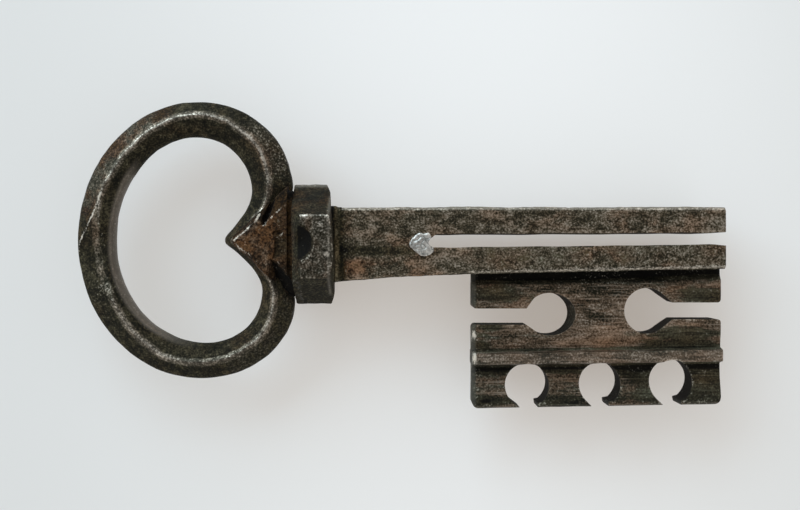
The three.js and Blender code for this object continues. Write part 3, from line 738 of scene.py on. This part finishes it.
# Rings round the neck, one for each x: across its front from +y to -y, and back behind
def neckRings():
    x = np.linspace(neck["tipX"], neck["endX"], neck["stations"])
    t = np.clip((x - neck["tipX"]) / (neck["waistX"] - neck["tipX"]), 0, 1)
    half = mix(*neck["edgeHalf"], t)
    inWaist = easeStep(neck["waistX"] - 0.08, neck["waistX"] + 0.08, x)
    half = mix(half, neck["waistHalf"], inWaist)
    middle = mix(neck["centreY"], neck["waistY"], inWaist)
    s = np.linspace(1, -1, neck["acrossFace"])[None, :]
    y = middle[:, None] + half[:, None] * s
    xs = x[:, None] + 0 * s
    height = neckHeight(xs, y) - rimDrop((1 - np.abs(s)) * half[:, None], neck["rimRound"])
    front = np.stack([xs, y, np.clip(height, 0.1, None)], -1)
    broad, fine = neck["pits"]
    front[..., 2] += broad * waves(front, 1.8, 41) + fine * waves(front, 0.8, 42)
    return frontAndBack(front)


neckMesh = meshFrom("neckWedge", neckRings())
p = pointsOf(neckMesh)
x, y = p.T[:2]
inFace = insideBy(x, y, neck["face"])
inWaist = easeStep(-5.2, -4.95, x)
worn = 0.14 + sum(shine * hump(fromLine(x, y, line), 0, 0.22) for line, shine in neck["brightLines"])
# Crust with painted shade: on the flanks outside the face, in the groove at the waist and in the marks
crusted = 0.1 + 0.5 * easeStep(0.0, -1.0, inFace) + 0.15 * easeStep(-8.5, -6.5, x) + 0.35 * inWaist
rusted = 0.7 + 0.5 * easeStep(-7.0, -8.4, x) * easeStep(-0.2, 0.3, inFace)
for outline, deep, soft, crust, rust in neck["marks"]:
    inMark = easeStep(-0.25, 0.35, insideBy(x, y, outline))
    crusted = crusted + crust * inMark
    rusted = rusted + rust * inMark
addPiece(
    "neckWedge", neckMesh, ["neck", "bow_braze"], "forged_iron", neckIron,
    wear=worn * (0.85 + 0.3 * waves(p, 1.5, 43)) * (1 - inWaist), polish=0.0, grime=crusted, rusty=rusted,
)
print("neck made")

# Collar: a hexagonal sleeve, its ends a little out of square

collar = {
    "leftX": -3.85,
    "rightX": 3.5,
    "centreY": -0.55,
    "corner": 12.05,
    "leftSkew": 0.017,
    "rightSkew": 0.038,
    "rightLean": 0.058,
    "frontShift": -0.55,                # its front flat was filed a little off the middle
    "bevel": (2.0, 2.1),                # along and deep, on the two flats at the left end
    "hollow": (-3.2, -0.25, 3.8, 1.5),  # round scoop in the front flat: x, y, radius, depth
    "glints": (             # painted highlights on its front: x, y, size, share
        (1.7, 3.2, 0.5, 0.6), (2.9, -2.6, 0.5, 0.6), (-2.2, -3.4, 0.4, 0.6),
        (-1.2, 4.6, 0.5, 0.5), (3.2, 4.7, 0.5, 0.5),
    ),
    "perSide": 40,
    "along": 70,
}


# Rings from the bore at the left end, out over that end, along the six sides and back in
# over the right end. Under the nut chamfer a corner's end lies further in.
def collarRings():
    angle = np.arange(6) * np.pi / 3
    corners = np.stack([np.cos(angle), np.sin(angle)], -1)[None] * collar["corner"]
    corners[0, 1:3, 0] += collar["frontShift"]
    ring = ringThrough(corners, collar["perSide"], 3)[0]
    radius = np.linalg.norm(ring, axis=1)
    flats = collar["corner"] * np.cos(np.pi / 6)
    inward = np.linspace(0.45, 0.985, 12)
    y, z = ring[:, 0] + collar["centreY"], ring[:, 1]
    left = collar["leftX"] - collar["leftSkew"] * ring[:, 0]
    right = collar["rightX"] - collar["rightSkew"] * ring[:, 0] + collar["rightLean"] * z
    nut = 0.55 * easeStep(flats, collar["corner"], radius)
    start, end = left + 0.25, right - nut - 0.18
    rows = [np.stack([left, collar["centreY"] + ring[:, 0] * s, z * s], -1) for s in inward]
    rows += [np.stack([mix(start, end, s), y, z], -1) for s in np.linspace(0, 1, collar["along"])]
    rows += [
        np.stack([right - nut * easeStep(0.8, 1.0, s), collar["centreY"] + ring[:, 0] * s, z * s], -1)
        for s in inward[::-1]
    ]
    grid = np.stack(rows)
    # No point stands above the sloping plane of the bevels
    along, deep = collar["bevel"]
    limit = flats - np.clip(deep * (1 - (grid[..., 0] - left) / along), 0, None)
    grid[..., 2] = np.clip(grid[..., 2], -limit, limit)
    return grid


collarPoints = collarRings()
hollowX, hollowY, hollowRadius, hollowDepth = collar["hollow"]
flats = collar["corner"] * np.cos(np.pi / 6)
ballRadius = (hollowRadius ** 2 + hollowDepth ** 2) / (2 * hollowDepth)
fromBall = (collarPoints[..., 0] - hollowX) ** 2 + (collarPoints[..., 1] - hollowY) ** 2
underBall = flats - hollowDepth + ballRadius - np.sqrt(np.clip(ballRadius ** 2 - fromBall, 0, None))
inHollow = (fromBall < hollowRadius ** 2) & (collarPoints[..., 2] > underBall)
collarPoints[..., 2] = np.where(inHollow, underBall, collarPoints[..., 2])
collarPoints += 0.03 * waves(collarPoints, 2.2, 51)[..., None] * np.array([0.3, 1, 1])
collarMesh = meshFrom("hexCollar", collarPoints)
p = pointsOf(collarMesh)
x, y, z = p.T
onFront = easeStep(flats - 0.5, flats - 0.1, z)
hollowEdge = np.hypot(x - hollowX, y - hollowY) - hollowRadius
fromCorner = np.abs(np.abs(y - collar["centreY"] - collar["frontShift"]) - collar["corner"] / 2)
topEdge = hump(fromCorner, 0, 0.22) * easeStep(flats - 1.0, flats - 0.3, z) * easeStep(-3, 3, y)
rimShine = hump(hollowEdge, 0.15, 0.2) * onFront * easeStep(1.0, -2.0, y)
rightEdge = hump(x - collar["rightX"], -0.15, 0.3) * easeStep(3, 5, z)
topLine = hump(y, collar["centreY"] + collar["corner"] - 0.35, 0.35) * (z > -1)
glint = sum(share * hump(np.hypot(x - a, y - b), 0, size) for a, b, size, share in collar["glints"])
scoop = easeStep(0.2, -0.6, hollowEdge) * easeStep(7.5, 8.5, z) * easeStep(-3.3, -2.5, x)
atBevel = easeStep(-1.7, -2.3, x) * (z > 0)
# Painted shade: the scoop darkest, the side flats darker than the front, the upper one most. Painted
# highlights: the glints, the front flat's edges and the scoop's rim
addPiece(
    "hexCollar", collarMesh, ["collar"], "worn_iron", collarIron,
    wear=0.05 * (1 - 3 * scoop) + (0.22 + glint) * onFront + 0.25 * topEdge + 0.2 * rimShine
    + 0.15 * rightEdge + 0.3 * topLine,
    polish=0.3 * rightEdge + 0.5 * topLine,
    grime=scoop + (1 - onFront) * (1 - scoop)
    * (0.8 + 0.1 * (y > 4) - 0.35 * rightEdge - 0.4 * topLine - 0.4 * atBevel),
    rusty=0.2 + 0.3 * waves(p, 5, 52) + 0.5 * (1 - onFront) * (y > 0),
)

# Brass in the corner between collar and shank

ringBraze = {"width": 2.1, "height": 0.28, "low": -7.8, "half": 6.6, "perSide": 34, "rows": 18}


# A hollow fillet round the shank: its height over the shank falls as (1 - t) ^ 1.5 from
# the collar's face (t = 0) to its edge (t = 1)
def brazeRings():
    rows = []
    for s in np.linspace(0, 1, ringBraze["rows"]):
        out = ringBraze["height"] * (1 - s) ** 1.5 + 0.02
        low, high = ringBraze["low"] - out, ringBraze["half"] + out
        corners = np.array([[low, -high], [high, -high], [high, high], [low, high]])[None]
        ring = ringThrough(corners, ringBraze["perSide"], 4)[0]
        face = collar["rightX"] - collar["rightSkew"] * (ring[:, 0] - collar["centreY"]) \
            + collar["rightLean"] * ring[:, 1]
        rows.append(np.stack([face - 0.1 + s * ringBraze["width"], ring[:, 0], ring[:, 1]], -1))
    return np.stack(rows)


brazePoints = brazeRings()
brazePoints += 0.06 * waves(brazePoints, 1.6, 61)[..., None] * np.array([1, 0.6, 0.6])
brazeMesh = meshFrom("collarBraze", brazePoints)
# Dark beside the collar, then the brass, darker again towards the shank
fromCollar = pointsOf(brazeMesh)[:, 0] - collar["rightX"]
addPiece(
    "collarBraze", brazeMesh, ["collar_braze"], "brazing_brass", brazeBrass,
    wear=0.16, polish=0.0, rusty=0.3,
    grime=easeStep(1.05, 0.6, fromCollar) + 0.8 * easeStep(1.5, 2.1, fromCollar),
)
print("collar made")

# Shank: a square bar, slotted from its tip

shank = {
    "startX": 3.45,
    "tipX": 80.3,
    "topY": 6.6,
    "half": 6.6,
    "bevel": 0.5,
    "rootY": -7.95,         # underside at the collar
    "waistX": 28.5,         # where the flare ends
    "flareLength": 25.0,
    "waistY": -6.5,
    "tipY": -5.4,           # underside at the tip
    "slotOpenX": 22.5,      # where the solder stops and the slot is open
    "slotStart": (0.05, 2.6),   # middle and width of the slot there
    "slotEnd": (0.5, 2.35),     # and at the tip
    "slotNose": -0.35,      # where across it (-1 to 1) its pointed end is
    "slotRound": (0.9, 1.65),   # mm, how deep that end is below and above
    "slotMouth": 0.3,       # mm, how much the slot opens at the tip
    "along": 330,
    "perSide": 26,
    "edgeRound": 2,
}


# Underside of the shank: a flare towards the collar, then a straight taper
def shankBottom(x):
    along = (x - shank["waistX"]) / (shank["tipX"] - shank["waistX"])
    toRoot = np.clip((shank["waistX"] - x) / shank["flareLength"], 0, None) ** 1.25
    ending = np.where(x > shank["waistX"], shank["tipY"], shank["rootY"])
    return mix(shank["waistY"], ending, np.where(x > shank["waistX"], along, toRoot))


# Square section with bevelled corners, whose lower side follows shankBottom, closed by two
# rounded ends
def shankRings():
    x = np.linspace(shank["startX"], shank["tipX"] - 0.15, shank["along"])
    low, bevel, half = shankBottom(x), shank["bevel"], shank["half"]
    high, half = np.full_like(x, shank["topY"]), np.full_like(x, half)
    corners = np.stack([
        np.stack([low, -half + bevel], -1), np.stack([low + bevel, -half], -1),
        np.stack([high - bevel, -half], -1), np.stack([high, -half + bevel], -1),
        np.stack([high, half - bevel], -1), np.stack([high - bevel, half], -1),
        np.stack([low + bevel, half], -1), np.stack([low, half - bevel], -1),
    ], axis=1)
    ring = ringThrough(corners, shank["perSide"], shank["edgeRound"])
    grid = np.stack([x[:, None] + 0 * ring[..., 0], ring[..., 0], ring[..., 1]], -1)
    last = grid[-1]
    middle = last.mean(axis=0)
    rounded = [
        mix(last, middle, s) + np.array([dx, 0, 0]) for s, dx in ((0.03, 0.17), (0.08, 0.25), (0.4, 0.25))
    ]
    return np.concatenate([grid, np.stack(rounded)])


# Middle and width of the slot at x, both changing in a straight line
def slotAt(x):
    t = (x - shank["slotOpenX"]) / (shank["tipX"] - shank["slotOpenX"])
    return [mix(start, end, t) for start, end in zip(shank["slotStart"], shank["slotEnd"])]


# Outline of the slot: two sides a little uneven from sawing and filing, and an end whose
# depth grows from its nose to either side as t ^ 1.7
def slotOutline():
    x = np.linspace(shank["slotOpenX"] + max(shank["slotRound"]), shank["tipX"] + 2, 180)
    middle, width = slotAt(x)
    sway = np.stack([x, 0 * x, 0 * x], -1)
    grow = easeStep(0, 4, x - x[0])
    mouth = shank["slotMouth"] * easeStep(shank["tipX"] - 3.5, shank["tipX"], x)
    low = np.stack([x, middle - width / 2 - mouth + 0.05 * grow * waves(sway, 9, 71)], -1)
    high = np.stack([x, middle + width / 2 + 0.05 * grow * waves(sway, 9, 72)], -1)
    s = np.linspace(-1, 1, 41)
    nose = shank["slotNose"]
    t = np.where(s < nose, (nose - s) / (1 + nose), (s - nose) / (1 - nose))
    reach = np.where(s < nose, *shank["slotRound"]) * t ** 1.7
    end = np.stack([shank["slotOpenX"] + reach, middle[0] + s * width[0] / 2], -1)
    return np.concatenate([low, high[::-1], end[:-1][::-1]])


shankPoints = shankRings()
slotMiddle, slotWidth = slotAt(shankPoints[..., 0])
fromSlot = np.abs(shankPoints[..., 1] - slotMiddle) - slotWidth / 2
beside = easeStep(shank["slotOpenX"] - 1, shank["slotOpenX"] + 1, shankPoints[..., 0])
drop = 0.2 * beside * hump(np.clip(fromSlot, 0, None), 0, 0.28)
shankPoints[..., 2] -= np.sign(shankPoints[..., 2]) * drop
shankPoints += (0.045 * waves(shankPoints, 7, 73) + 0.02 * waves(shankPoints, 2, 74))[..., None] \
    * np.array([0, 1, 1])
slotShape = slotOutline()
shankMesh = cutAway(
    meshFrom("shankBar", shankPoints), [cutterThrough("slot", 33, lambda height: slotShape)],
)
p = pointsOf(shankMesh)
x, y, z = p.T
fromTop, fromBottom = shank["topY"] - y, y - shankBottom(x)
onFace = easeStep(6.1, 6.4, np.abs(z))
slotMiddle, slotWidth = slotAt(x)
fromSlot = np.abs(y - slotMiddle) - slotWidth / 2
slotRim = hump(fromSlot, 0.1, 0.2) * (x > shank["slotOpenX"])
inSlot = (fromSlot < 0.15) * (1 - onFace)
leftOnly, pastFlare = easeStep(24, 15, x), easeStep(28, 32, x)
lowBar = easeStep(0.5, -0.5, y) * easeStep(26, 32, x)
# Painted shade on the slot's walls
addPiece(
    "shankBar", shankMesh, ["shank"], "forged_iron", shankIron,
    wear=0.16 + 0.3 * hump(fromTop, 0.4, 0.3) + 0.36 * hump(fromBottom, 0.45, 0.35) * pastFlare
    + 0.06 * easeStep(20, 60, x) + 0.1 * slotRim,
    polish=0.7 * easeStep(0.75, 0.35, fromTop) + 0.5 * easeStep(0.7, 0.3, fromBottom) * pastFlare * onFace,
    grime=0.9 * hump(y, -1.9, 0.9) * leftOnly * onFace + 0.6 * inSlot + 0.2 * lowBar
    + 0.3 * (1 - onFace) * easeStep(0.6, 1.2, fromTop) + 0.75 * hump(x, 5.2, 1.3) * onFace,
    rusty=0.32 + 0.6 * hump(y, -4.8, 1.7) * leftOnly + 0.2 * waves(p, 8, 75),
)
print("shank made")

# Bit: a plate with a raised rib across it and five ward cuts

bit = {
    "leftX": 31.22,
    "rightX": 80.25,
    "footLeft": -32.95,
    "footRight": -32.1,
    "ribLeft": -23.15,
    "ribRight": -22.4,
    "ribHalfWidth": 1.15,
    "ribHalf": 5.1,
    "plateHalf": 3.6,
    "aboveRib": 3.15,
    "rootHalf": 2.8,
    "hollowHalf": 2.75,
    "footHalf": 3.8,
    "endRound": 0.9,
    "footRound": 0.7,
    "cornerRound": 1.2,     # mm, the two corners at the foot
    "mouthRound": 0.8,
    "rimRound": 0.14,
    "along": 260,
    "down": 150,
    # Each keyhole: its round part, its slit and the side it runs to, how far from the
    # middle the throat between them is at the back and the front, and how much further
    # the round part reaches at the front, on the side away from the slit or towards it
    "keyholes": (
        {"x": 46.4, "y": -14.38, "rx": 4.52, "ry": 4.2, "slotY": -14.86, "slot": 3.2, "to": -1,
         "throat": (4.5, 4.5), "lean": 0.65},
        {"x": 65.65, "y": -13.7, "rx": 4.5, "ry": 4.5, "slotY": -13.72, "slot": 3.3, "to": 1,
         "throat": (5.5, 4.95), "lean": 0.0},
    ),
    # The foot cuts are round, and open at the foot through a mouth from x to x
    "footCuts": (
        {"x": 42.05, "y": -28.45, "rx": 4.35, "ry": 4.35, "mouth": (40.6, 44.1)},
        {"x": 56.4, "y": -28.2, "rx": 4.1, "ry": 4.3, "mouth": (54.75, 58.0)},
        {"x": 70.4, "y": -27.75, "rx": 4.25, "ry": 4.5, "mouth": (68.85, 72.3)},
    ),
    "lip": 0.9,             # mm, how far the right lip of a mouth stands above the foot
    # Ragged black patches on its front: x, y, reach along and across
    "soot": (
        (54, -7.7, 16, 1.0), (72, -20.2, 9, 1.3), (74, -18.0, 5, 1.0), (77, -10.8, 4.5, 1.2),
        (35, -17.0, 3, 0.7), (35, -10.5, 5, 1.3), (33, -20.5, 2.5, 0.8),
        (49.5, -32, 3.5, 1.2), (64, -26.5, 3.2, 1.8), (77, -28.5, 4, 3.5), (34, -31.5, 2.5, 1.0),
    ),
}


# A value that changes in a straight line from the bit's left end to its right
def alongBit(name, x):
    t = (x - bit["leftX"]) / (bit["rightX"] - bit["leftX"])
    return mix(bit[name + "Left"], bit[name + "Right"], t)


# Half thickness of the bit: a plate thinned at the shank, falling gently towards the rib,
# a flat-topped rib with steep sides, a hollow under it and a flare at the foot
def bitHalfThickness(x, y):
    rib = alongBit("rib", x)
    foot = alongBit("foot", x)
    root = shankBottom(x)
    plate = mix(bit["rootHalf"], bit["plateHalf"], easeStep(1.1, 2.5, root - y))
    half = plate + (bit["aboveRib"] - bit["plateHalf"]) * easeStep(rib + 5.2, rib + 1.4, y)
    flare = mix(bit["hollowHalf"], bit["footHalf"], easeStep(rib - 3.2, foot + 0.6, y))
    half = np.where(y < rib, flare, half)
    onRib = easeStep(bit["ribHalfWidth"] + 0.38, bit["ribHalfWidth"] - 0.1, np.abs(y - rib))
    return mix(half, bit["ribHalf"], onRib)


# Distance from a point to the nearest ward cut's edge, positive on the metal
def outsideCuts(x, y):
    distance = np.full(np.shape(x), 99.0)
    for cut in bit["keyholes"]:
        fromRound = (np.hypot((x - cut["x"]) / cut["rx"], (y - cut["y"]) / cut["ry"]) - 1) * cut["ry"]
        fromSlit = np.abs(y - cut["slotY"]) - cut["slot"] / 2
        fromSlit = np.where(cut["to"] * (x - cut["x"]) > 0, fromSlit, 99.0)
        distance = np.minimum(distance, np.minimum(fromRound, fromSlit))
    for cut in bit["footCuts"]:
        fromRound = (np.hypot((x - cut["x"]) / cut["rx"], (y - cut["y"]) / cut["ry"]) - 1) * cut["rx"]
        distance = np.minimum(distance, fromRound)
    return distance


# Rings round the bit, one for each x: down the front from the shank to the foot, and up
# the back. Towards its edges the thickness draws in as a quarter circle, and the foot's
# corners are round in plan.
def bitRings():
    x = np.linspace(bit["leftX"] + 0.02, bit["rightX"] - 0.02, bit["along"])[:, None]
    s = np.linspace(0, 1, bit["down"])[None, :]
    foot = alongBit("foot", x) + rimDrop(x - bit["leftX"], bit["cornerRound"]) \
        + rimDrop(bit["rightX"] - x, bit["cornerRound"])
    top = shankBottom(x) + 1.2
    xs, y = x + 0 * s, mix(top, foot, s)
    half = bitHalfThickness(xs, y)
    half = half - rimDrop(y - foot, bit["footRound"])
    half = half - rimDrop(xs - bit["leftX"], bit["endRound"]) - rimDrop(bit["rightX"] - xs, 0.5)
    half = half - bit["rimRound"] * hump(np.clip(outsideCuts(xs, y), 0, None), 0, 0.2)
    return frontAndBack(np.stack([xs, y, half], -1))


# Ellipse that runs out through a throat into a slit with rounded mouths at the end of
# the bit. front is 0 at the back of the plate and 1 at its front.
def keyholeOutline(cut, front):
    reach = cut["slot"] / 2
    throat = mix(*cut["throat"], front)
    wide = throat > 1.02 * cut["rx"] * np.sqrt(1 - (reach / cut["ry"]) ** 2)
    start = np.radians(48) if wide else np.arcsin(reach / cut["ry"])
    angle = np.linspace(start, 2 * np.pi - start, 72)
    arc = np.stack([cut["rx"] * np.cos(angle), cut["ry"] * np.sin(angle)], -1)
    arc[:, 0] -= cut["lean"] * front * np.clip(-np.cos(angle), 0, None)
    arc[:, 0] *= cut["to"]
    arc += np.array([cut["x"], cut["y"]])
    endX = bit["rightX"] if cut["to"] > 0 else bit["leftX"]
    mouth = bit["mouthRound"]
    t = np.linspace(0, np.pi / 2, 9)
    curve = np.stack([endX - cut["to"] * mouth * (1 - np.sin(t)), mouth * (1 - np.cos(t))], -1)
    corner = [[cut["x"] + cut["to"] * throat, 0]]
    curve = np.concatenate([corner, curve, [[endX + cut["to"] * 2, mouth]]])
    low = curve * np.array([1, -1]) + np.array([0, cut["slotY"] - reach])
    high = curve + np.array([0, cut["slotY"] + reach])
    return np.concatenate([arc, low, high[::-1]])


# Circle that opens at the foot through a mouth, the same at every height
def roundOutline(cut, front):
    angle = np.radians(np.linspace(-48, 228, 72))
    arc = np.stack([cut["x"] + cut["rx"] * np.cos(angle), cut["y"] + cut["ry"] * np.sin(angle)], -1)
    foot = alongBit("foot", cut["x"])
    left, right = cut["mouth"]
    mouth = [(left, foot), (left + 0.4, foot - 2), (right + 0.3, foot - 2), (right, foot + bit["lip"])]
    return np.concatenate([arc, mouth])


# The cutter for one ward cut, its outline changing evenly from the back to the front
def wardCutter(name, outlineOf, cut):
    half = bit["plateHalf"]
    return cutterThrough(
        name, 41, lambda height: outlineOf(cut, np.clip((height + half) / (2 * half), 0, 1)),
    )


bitPoints = bitRings()
bumps = 0.03 * waves(bitPoints, 4, 81) + 0.02 * waves(bitPoints * np.array([0.3, 1, 1]), 1.2, 82)
bitPoints += bumps[..., None] * np.array([0, 0.4, 1])
cutters = [wardCutter(f"keyhole{k}", keyholeOutline, cut) for k, cut in enumerate(bit["keyholes"])]
cutters += [wardCutter(f"footCut{k}", roundOutline, cut) for k, cut in enumerate(bit["footCuts"])]
bitMesh = cutAway(meshFrom("wardedBit", bitPoints), cutters)
p = pointsOf(bitMesh)
x, y, z = p.T
fromRib, fromFoot = y - alongBit("rib", x), y - alongBit("foot", x)
fromCut, fromLeft = outsideCuts(x, y), x - bit["leftX"]
onRib = easeStep(4.3, 4.9, np.abs(z))
onWall = easeStep(0.3, 0.5, bitHalfThickness(x, y) - np.abs(z)) * (fromCut < 0.85)
underShank = easeStep(2.4, 0.6, shankBottom(x) - y)
rightWalls = easeStep(0, 1, hump(fromCut, 0.1, 0.18) * (1 - onWall) * easeStep(44, 50, x))
leftEnd = easeStep(0.9, 0.5, fromLeft)
endGlint = hump(y, -18.5, 0.8) + hump(fromRib, 0.3, 0.9)
middleX = hump(x, 56, 7)
below = easeStep(-1.2, -1.6, fromRib)
soot = sum(
    np.exp(-(((x - a) / along) ** 2) - ((y - b) / across) ** 2) for a, b, along, across in bit["soot"]
)
aboveCuts = easeStep(-13.2, -11.8, y)
plate = 0.07 - 0.3 * middleX * (1 - aboveCuts) \
    + aboveCuts * (0.09 + 0.05 * easeStep(46, 36, x) - 0.15 * middleX)
# Painted shade: on the cut walls, under the shank, in the groove above the rib and under the rib, and over
# the left end. Painted highlights: the glints on the left end
addPiece(
    "wardedBit", bitMesh, ["bit", "bit_braze"], "filed_iron", bitIron,
    wear=0.13 + 0.13 * middleX * easeStep(3, 5, fromRib) + 0.17 * onRib + 0.22 * rightWalls
    + 0.12 * hump(fromLeft, 1.0, 0.3) + 0.15 * hump(fromFoot, 0.5, 0.4) + 0.8 * leftEnd * endGlint,
    polish=0.2 * onRib + 0.3 * leftEnd + 0.3 * easeStep(0.6, 0.2, fromFoot),
    grime=onWall * (1 - leftEnd) + 0.3 * leftEnd + 0.95 * underShank
    + (1 - onRib) * (0.55 * soot + (1 - below) * plate) + 0.26 * below
    + 0.75 * hump(fromRib, -2.2, 0.9) + 0.6 * hump(fromRib, 1.6, 0.3)
    + 0.2 * hump(fromRib, 4.4, 0.7) + 0.25 * hump(fromFoot, 1.6, 0.8),
    rusty=0.3 + 0.4 * hump(fromRib, 2.8, 1.0) + 0.4 * hump(y + 9.5, 0, 2.5) + 0.2 * middleX
    + 0.4 * hump(fromRib, -5.0, 1.2) + 0.15 * waves(p, 7, 83),
)
print("bit made")

# Solder in the closed end of the slot, wrinkled as it set

solder = {
    "x": 21.1, "y": -0.65,
    "face": 6.6, "seat": 5.6, "height": 0.22, "rows": 44, "around": 144,
    # its edge: angle in degrees and radius in mm
    "edge": (
        (0, 2.3), (28, 2.35), (57, 2.68), (66, 2.4), (79, 2.1), (97, 2.33), (110, 2.25), (135, 2.06),
        (162, 2.15), (180, 2.33), (193, 2.2), (209, 1.8), (245, 1.82), (270, 2.2), (298, 2.5),
        (316, 2.66), (331, 2.76), (345, 2.4), (360, 2.3),
    ),
}


# A closed lens: radius r by angle, its front bulging as 1 - r ^ 4 with wrinkles that fade
# at its edge, and a flat back inside the shank
def solderCap():
    r = np.concatenate([np.linspace(0.02, 1, solder["rows"]), np.linspace(1, 0.02, 8)])[:, None]
    angle = np.linspace(0, 2 * np.pi, solder["around"], endpoint=False)[None, :]
    radius = between(solder["edge"], np.degrees(angle))[0]
    x = solder["x"] + r * radius * np.cos(angle)
    y = solder["y"] + r * radius * np.sin(angle)
    isFront = (np.arange(len(r)) < solder["rows"])[:, None]
    top = solder["face"] + 0.02 + solder["height"] * np.clip(1 - r ** 4, 0, 1)
    grid = np.stack([x, y, np.where(isFront, top, solder["seat"]) + 0 * x], -1)
    wrinkle = 0.07 * np.abs(waves(grid, 1.5, 91)) + 0.01 * waves(grid, 0.5, 92)
    rim = 0.12 * hump(r, 0.9, 0.09)
    grid[..., 2] += np.where(isFront, (wrinkle + rim) * (1 - r ** 8), 0)
    return grid


solderMesh = cutAway(
    meshFrom("slotSolder", solderCap()), [cutterThrough("slotEnd", 33, lambda height: slotShape)],
)
fold = np.abs(waves(pointsOf(solderMesh), 1.5, 91))
# Painted shade in the creases of the wrinkles, painted highlights on their crests
addPiece(
    "slotSolder", solderMesh, ["slot_end_solder"], "tin_solder", tinSolder,
    wear=0.15 + 0.15 * fold, polish=0.0, grime=0.5 * easeStep(0.5, 0.1, fold), rusty=0.0,
)
print("solder made")

# Floor, light and camera

stage = {
    "floor": "#e4f0fa",
    "floorEdge": "#c0cfd9",
    "floorFade": 120.0,         # mm from its brightest place to that edge tone
    "floorReach": 6.0,          # m to each side
    "floorMiddle": (38.0, 6.0),
    "glow": "#fbe9d7",          # what the card shows by itself to the camera, so that the
    "glowShare": 0.33,          # key's shadow on it stays as pale as on a lit card
    "sky": "#fffbf6",
    "skyStrength": 0.66,
    "skyLow": 0.25,             # the lower this is, the brighter the sky near the horizon
    "lamp": (0.74, 0.91, 1.0),
    "lampPower": 9.4,
    "lampPlace": (-0.50, 0.70, 0.46),
    "lampSize": (1.1, 0.8),
    "cameraHeight": 220.0,      # mm above the key's mid-plane
    "cameraOver": (17.0, -2.72),
    "photoWidth": 160.0,        # mm across the mid-plane
}

floorMesh = bpy.data.meshes.new("floor")
reach = stage["floorReach"]
floorMesh.from_pydata(
    [(-reach, -reach, 0), (reach, -reach, 0), (reach, reach, 0), (-reach, reach, 0)], [], [(0, 1, 2, 3)],
)
floor = addObject("floor", floorMesh)
# White card: flat, no gloss, with a painted falloff of light: darker away from its middle,
# faster to the sides
floorMaterial, tree = newMaterial("matteCard")
middle = atRest([*stage["floorMiddle"], 0])
place = addNode(tree, "ShaderNodeTexCoord").outputs["Object"]
squeezed = addNode(
    tree, "ShaderNodeMapping", Vector=place, Location=(-middle[0], -0.5 * middle[1], 0), Scale=(1, 0.5, 0),
).outputs[0]
fromMiddle = addNode(tree, "ShaderNodeVectorMath", {"operation": "LENGTH"}, _0=squeezed).outputs["Value"]
outer = addNode(
    tree, "ShaderNodeMapRange", {"interpolation_type": "SMOOTHSTEP", "clamp": True},
    Value=fromMiddle, From_Min=0.0, From_Max=stage["floorFade"] / 1000,
).outputs[0]
cardTone = addNode(
    tree, "ShaderNodeMix", {"data_type": "RGBA"},
    _0=outer, _6=toLinear(stage["floor"]), _7=toLinear(stage["floorEdge"]),
).outputs[2]
card = addNode(tree, "ShaderNodeBsdfPrincipled", Base_Color=cardTone, Roughness=0.9).outputs[0]
glow = addNode(tree, "ShaderNodeEmission", Color=toLinear(stage["glow"]), Strength=1.0).outputs[0]
ray = addNode(tree, "ShaderNodeLightPath").outputs
seen = ray["Is Camera Ray"]
for kind in ("Is Glossy Ray", "Is Transmission Ray"):
    seen = addNode(tree, "ShaderNodeMath", {"operation": "MAXIMUM"}, _0=seen, _1=ray[kind]).outputs[0]
glowing = addNode(
    tree, "ShaderNodeMath", {"operation": "MULTIPLY"}, _0=seen, _1=stage["glowShare"],
).outputs[0]
surface = addNode(tree, "ShaderNodeMixShader", _0=glowing, _1=card, _2=glow).outputs[0]
addNode(tree, "ShaderNodeOutputMaterial", Surface=surface)
floorMesh.materials.append(floorMaterial)

world = bpy.data.worlds.new("softBox")
bpy.context.scene.world = world
world.use_nodes = True
tree = world.node_tree
tree.nodes.clear()
# White walls all round: the light grows towards the horizon as 1 / (height + low)
direction = addNode(tree, "ShaderNodeTexCoord").outputs["Generated"]
height = addNode(tree, "ShaderNodeSeparateXYZ", Vector=direction).outputs["Z"]
height = addNode(tree, "ShaderNodeMath", {"operation": "MAXIMUM"}, _0=height, _1=0.0).outputs[0]
height = addNode(tree, "ShaderNodeMath", {"operation": "ADD"}, _0=height, _1=stage["skyLow"]).outputs[0]
strength = addNode(
    tree, "ShaderNodeMath", {"operation": "DIVIDE"}, _0=stage["skyStrength"], _1=height,
).outputs[0]
background = addNode(
    tree, "ShaderNodeBackground", Color=toLinear(stage["sky"]), Strength=strength,
).outputs[0]
addNode(tree, "ShaderNodeOutputWorld", Surface=background)

lamp = bpy.data.lights.new("window", "AREA")
lamp.shape = "RECTANGLE"
lamp.size, lamp.size_y = stage["lampSize"]
lamp.energy = stage["lampPower"]
lamp.color = stage["lamp"]
window = addObject("window", lamp)
window.location = stage["lampPlace"]
window.rotation_euler = (Vector((0, 0, 0)) - window.location).to_track_quat("-Z", "Y").to_euler()

lens = bpy.data.cameras.new("photoLens")
lens.sensor_width = 36.0
lens.lens = lens.sensor_width * stage["cameraHeight"] / stage["photoWidth"]
lens.clip_start, lens.clip_end = 0.01, 20
camera = addObject("photoCamera", lens)
camera.location = atRest([*stage["cameraOver"], stage["cameraHeight"]]).tolist()
bpy.context.scene.camera = camera
bpy.context.scene.view_settings.view_transform = "Standard"
print("stage set")
